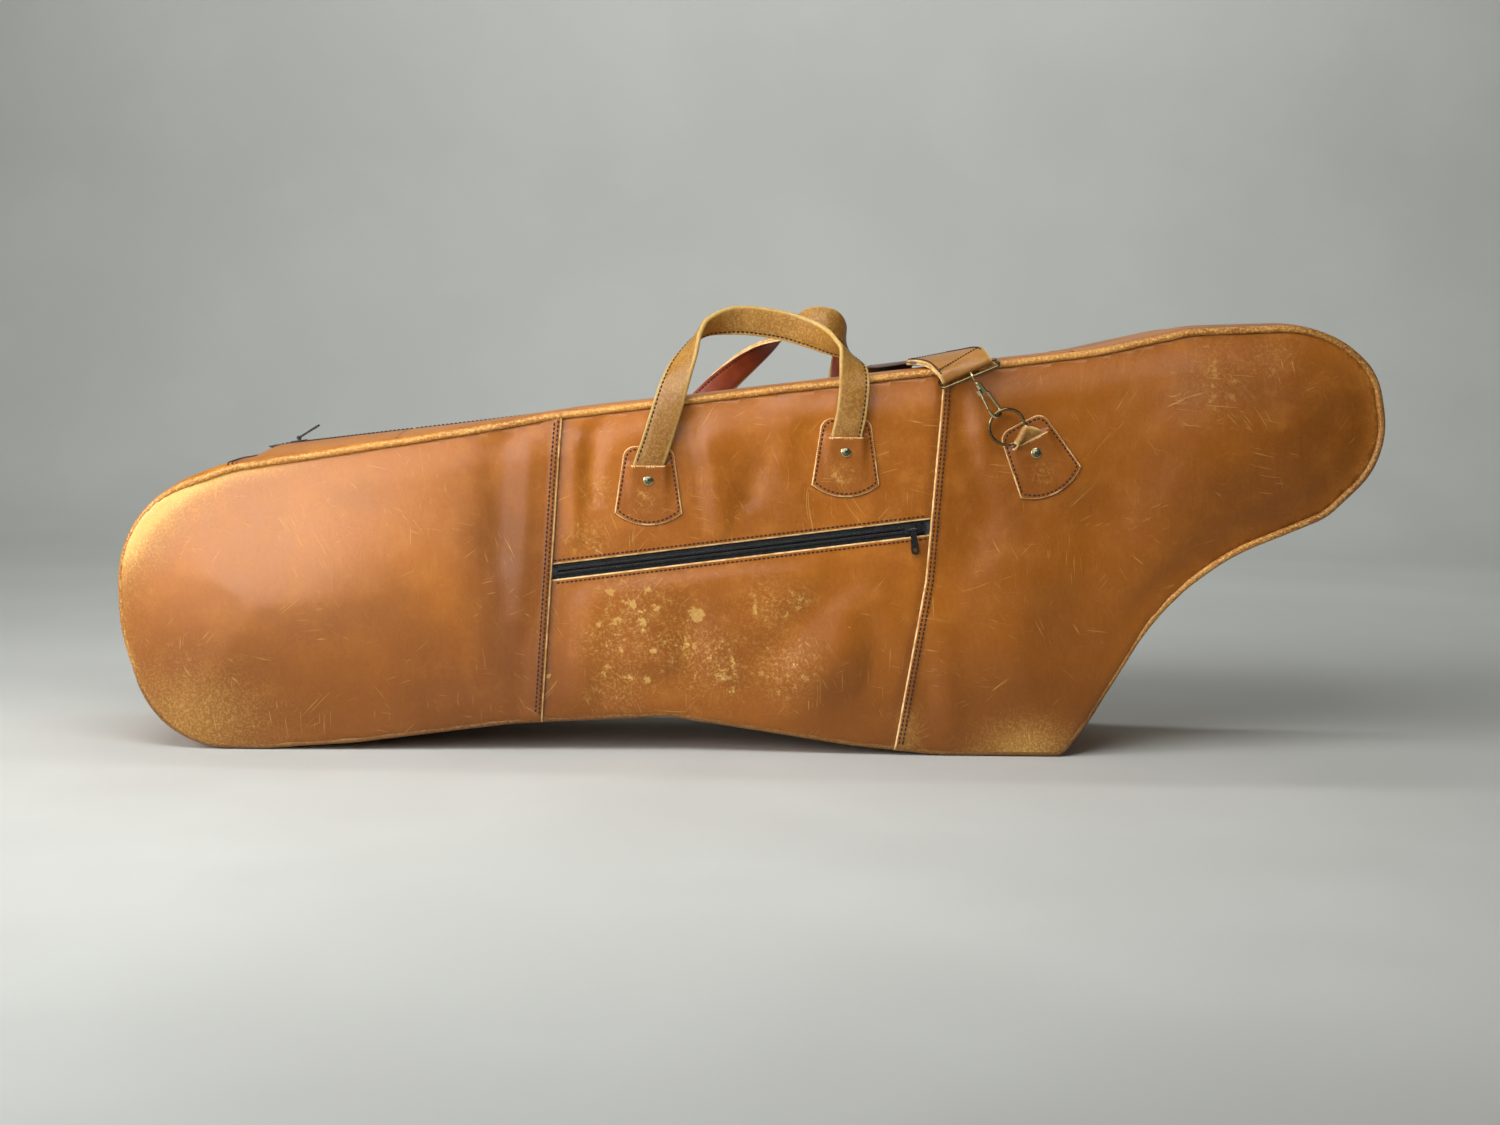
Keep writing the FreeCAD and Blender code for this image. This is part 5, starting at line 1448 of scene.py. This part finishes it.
def make_tab(name, end):
    """The strap's leather end: one strip folded round the bar of the ring and sewn to itself.

    Returns it with the places and directions of its two tacks."""
    points = [Vector(p) for p in end["tab"]]
    widths = [Vector(w).normalized() for w in end["widths"]]
    away = (points[1] - points[0]).normalized()
    out = away.cross(widths[0]).normalized()
    if out.dot(Vector((0, end["side"], 0.6))) < 0:
        out = -out
    frames = [(p, a, o if o.dot(out) > 0 else -o)
              for p, a, o in strap_frames([(*p, *w) for p, w in zip(points, widths)])]

    def layer(sign):
        return [(*(p + o * (sign * 1.35)), *a, TAB_WIDTH) for p, a, o in frames[1:]]

    turn = []
    for angle in (100, 135, 180, 225, 260):
        t = math.radians(angle)
        spot = points[0] + away * (TAB_BEND * math.cos(t)) + out * (TAB_BEND * math.sin(t))
        turn.append((*spot, *widths[0], TAB_WIDTH))
    line = spline(layer(1)[::-1] + turn + layer(-1), 70)
    piece = strap(name + "_tab_leather", line, flat_section(2.2), [TAB, RAW], FLAT_INDICES)
    upper = [(Vector(f[:3]), Vector(f[3:6]).normalized(), Vector(f[6:9]).normalized())
             for f in spline([(*p, *a, *o) for p, a, o in frames], 40)]
    rows = []
    for face in (-1, 1):
        rows += [[(p + a * across + o * (face * 2.5), o * face) for p, a, o in upper[4:]] for across in (-22.2, 22.2)]
        for p, a, o in (upper[7], upper[-3]):
            rows.append([(p + a * k + o * (face * 2.5), o * face) for k in np.linspace(-22, 22, 12)])
    stitches(name + "_tab_stitches", rows, pitch=2.9, length=2.1)
    p, a, o = upper[-3]
    return piece, [(p + a * across + o * 2.4, o) for across in (-19.5, 19.5)]


def webbing_section(width, i):
    """A thin section with 12 ribs on both sides."""
    top = [(-width / 2 + width * k / 24, 1.2 + (0.3 if k % 2 else -0.05)) for k in range(25)]
    return top + [(a, -b) for a, b in reversed(top)]


def make_webbing():
    """Ribbed webbing over the top, down the rear, folded, and up to the rear end's tab."""
    down, rise = Vector((0, 0, -1)), Vector((-0.933, 0, 0.36)).normalized()
    slope, level, rising = (0.992, 0, 0.126), (1, 0, 0), (0.36, 0, 0.933)
    drop_x, drop_y, fold_radius = 140.0, 119.4, 8.0
    stations = [(176, -80, 373.8, 0.96, 0.18, 0.22), (168, -60, 373, 0.96, 0.22, 0.18),
                (162, -34, 371.4, 0.97, 0.2, 0.16), (154, 0, 369.5, 0.98, 0.12, 0.14), (148, 44, 368.5, *slope),
                (142.5, 84, 368.5, *slope), (140.3, 106.5, 364.5, *slope), (drop_x, 116.4, 353, *slope),
                (drop_x, drop_y, 338, *level), (drop_x, drop_y, 230, *level), (drop_x, drop_y, 125, *level)]
    start = Vector((drop_x, drop_y, 97))
    axis = (down + rise).normalized()
    along, round_it = down.dot(axis), math.sqrt(1 - down.dot(axis) ** 2)
    radial = (down - axis * along).normalized()
    for angle in (math.pi * step / 8 for step in range(9)):
        point = start + axis * (fold_radius * angle * along / round_it) + radial * (fold_radius * math.sin(angle))
        point = point + Vector((0, fold_radius * (1 - math.cos(angle)), 0))
        stations.append((*point, *-axis))
    end = Vector((-157.9, 123.5, 195.4))
    stations += [(*point.lerp(end, share), *rising) for share in (0.35, 0.7, 1.0)]
    stations.append((*(end + rise * 18 + Vector((0, -0.5, 0))), *rising))
    line = spline([s + (WEBBING_WIDTH,) for s in stations], 150)
    piece = strap("ribbed_webbing", line, webbing_section, [WEB], [0] * 50)
    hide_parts("strap_webbing")


def make_fittings():
    """Patches, handles, ring loops, strap tabs with their tacks, rivets and the webbing."""
    heads = []
    for name, side in SIDES:
        for place, slot in HANDLE_SLOTS:
            heads.append(make_patch(f"{name}_{place}_handle_patch", side, slot, (0, 1), 14.0, 6.6))
        end = STRAP_ENDS[name]
        heads.append(make_patch(f"{name}_ring_patch", side, end["slot"], end["up"], 16.5, 4.0))
        make_handle(f"{name}_handle", side, FRONT_HANDLE if side < 0 else REAR_HANDLE)
        loop = make_ring_loop(name, end)
        tab, tacks = make_tab(name, end)
        if side < 0:
            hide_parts("ring_loops")
            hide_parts("strap_tabs")
        vertices, faces = [], []
        for origin, out in tacks:
            lathe([(1.9, -0.5), (2.3, 0.2), (1.9, 0.8), (0.8, 1.1)], origin, out, vertices, faces, 14)
        tidy_normals(make_object(name + "_tab_tacks", vertices, faces, [LACQUER]))
    make_rivets(heads)
    make_webbing()


def paint_cad_nodes():
    """Gives the CAD pieces that stay in view their finishes."""
    finish = {
        "tan_leather": GUSSET, "worn_leather": WELT, "handle_leather": PALE, "foam": FOAM,
        "lining_cloth": LINING, "black_nylon": NYLON, "grey_webbing": WEB, "antique_brass": PALE_BRASS,
        "black_metal": LACQUER}
    for name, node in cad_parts.items():
        for slot in node.material_slots:
            slot.material = finish[slot.material.name.split(".")[0]]
    for name in ("zip_tape_fixed", "front_flap_tape", "rear_flap_tape", "pocket_tape"):
        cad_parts[name].material_slots[0].material = TAPE_CLOTH
    for name in ("front_ring", "rear_ring", "strap_rings"):
        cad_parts[name].material_slots[0].material = BRASS


# ---------------------------------------------------------------- build

for side_name, side_sign in SIDES:
    face_panels(side_name, side_sign < 0)
    face_foam(side_name, side_sign)
    face_lining(side_name, side_sign)
    face_stitching(side_name, side_sign < 0)
    make_welt(side_name, side_sign)
make_gusset()
make_gusset_lining()
make_mouth()
make_crown()
make_zip_chains()
make_fittings()
paint_cad_nodes()


# ---------------------------------------------------------------- stage, light and camera

def area_light(name, place, target, width, height, power, colour=(1, 1, 1)):
    """A rectangular light in metres and watts, turned to a target."""
    data = bpy.data.lights.new(name, "AREA")
    data.shape = "RECTANGLE"
    data.size, data.size_y = width, height
    data.energy = power
    data.color = colour
    lamp = bpy.data.objects.new(name, data)
    lamp.location = place
    lamp.visible_camera = False
    lamp.rotation_euler = (Vector(target) - Vector(place)).to_track_quat("-Z", "Y").to_euler()
    bpy.context.scene.collection.objects.link(lamp)


def make_stage():
    """A pale floor that curves up into a backdrop."""
    floor = simple("stage_paper", srgb(190, 192, 187), srgb(195, 197, 192), 0.9, 3.0, 60.0, 0.02)
    curve = [(2.2 + 0.9 * math.sin(a), 0.9 - 0.9 * math.cos(a)) for a in np.linspace(0, math.pi / 2, 16)]
    profile = [(-4.0, 0.0)] + curve + [(3.1, 4.0)]
    vertices = [(x, y * 1000, z * 1000) for y, z in profile for x in (-6000, 6000)]
    faces = [(2 * i, 2 * i + 1, 2 * i + 3, 2 * i + 2) for i in range(len(profile) - 1)]
    make_object("stage_floor", vertices, faces, [floor], None, None)


def make_camera():
    """The camera of the photograph: nearly level, a little above the bag and slightly rolled."""
    data = bpy.data.cameras.new("photo_camera")
    data.sensor_width = 36.0
    data.lens = 50.32
    camera = bpy.data.objects.new("photo_camera", data)
    camera.location = (0.0, -2.060, 0.350)
    look = Quaternion((1, 0, 0), math.radians(90 - 4.95))
    roll = Quaternion((0, 0, 1), math.radians(0.55))
    camera.rotation_mode = "QUATERNION"
    camera.rotation_quaternion = look @ roll
    bpy.context.scene.collection.objects.link(camera)
    bpy.context.scene.camera = camera


make_stage()
make_camera()
area_light("overhead_softbox", (-0.25, -0.78, 1.02), (0.0, 0.1, 0.36), 1.4, 0.5, 13.5)
area_light("left_window", (-1.75, -0.80, 0.80), (-0.45, 0.0, 0.22), 0.8, 0.9, 20.5, (1.0, 0.97, 0.96))
area_light("sheen_panel", (-1.05, -1.62, 0.62), (-0.35, -0.1, 0.22), 0.9, 0.8, 13, (0.97, 0.98, 1.0))
area_light("wall_light", (0.1, 0.8, 2.9), (0.1, 2.8, 1.7), 2.6, 1.0, 66)
area_light("fill_light", (2.4, -2.4, 1.3), (0, 0, 0.2), 1.8, 1.8, 3)
world = bpy.data.worlds.new("studio")
world.use_nodes = True
world.node_tree.nodes["Background"].inputs["Color"].default_value = srgb(214, 218, 220)
world.node_tree.nodes["Background"].inputs["Strength"].default_value = 0.06
bpy.context.scene.world = world

bpy.context.scene.view_settings.view_transform = "Standard"
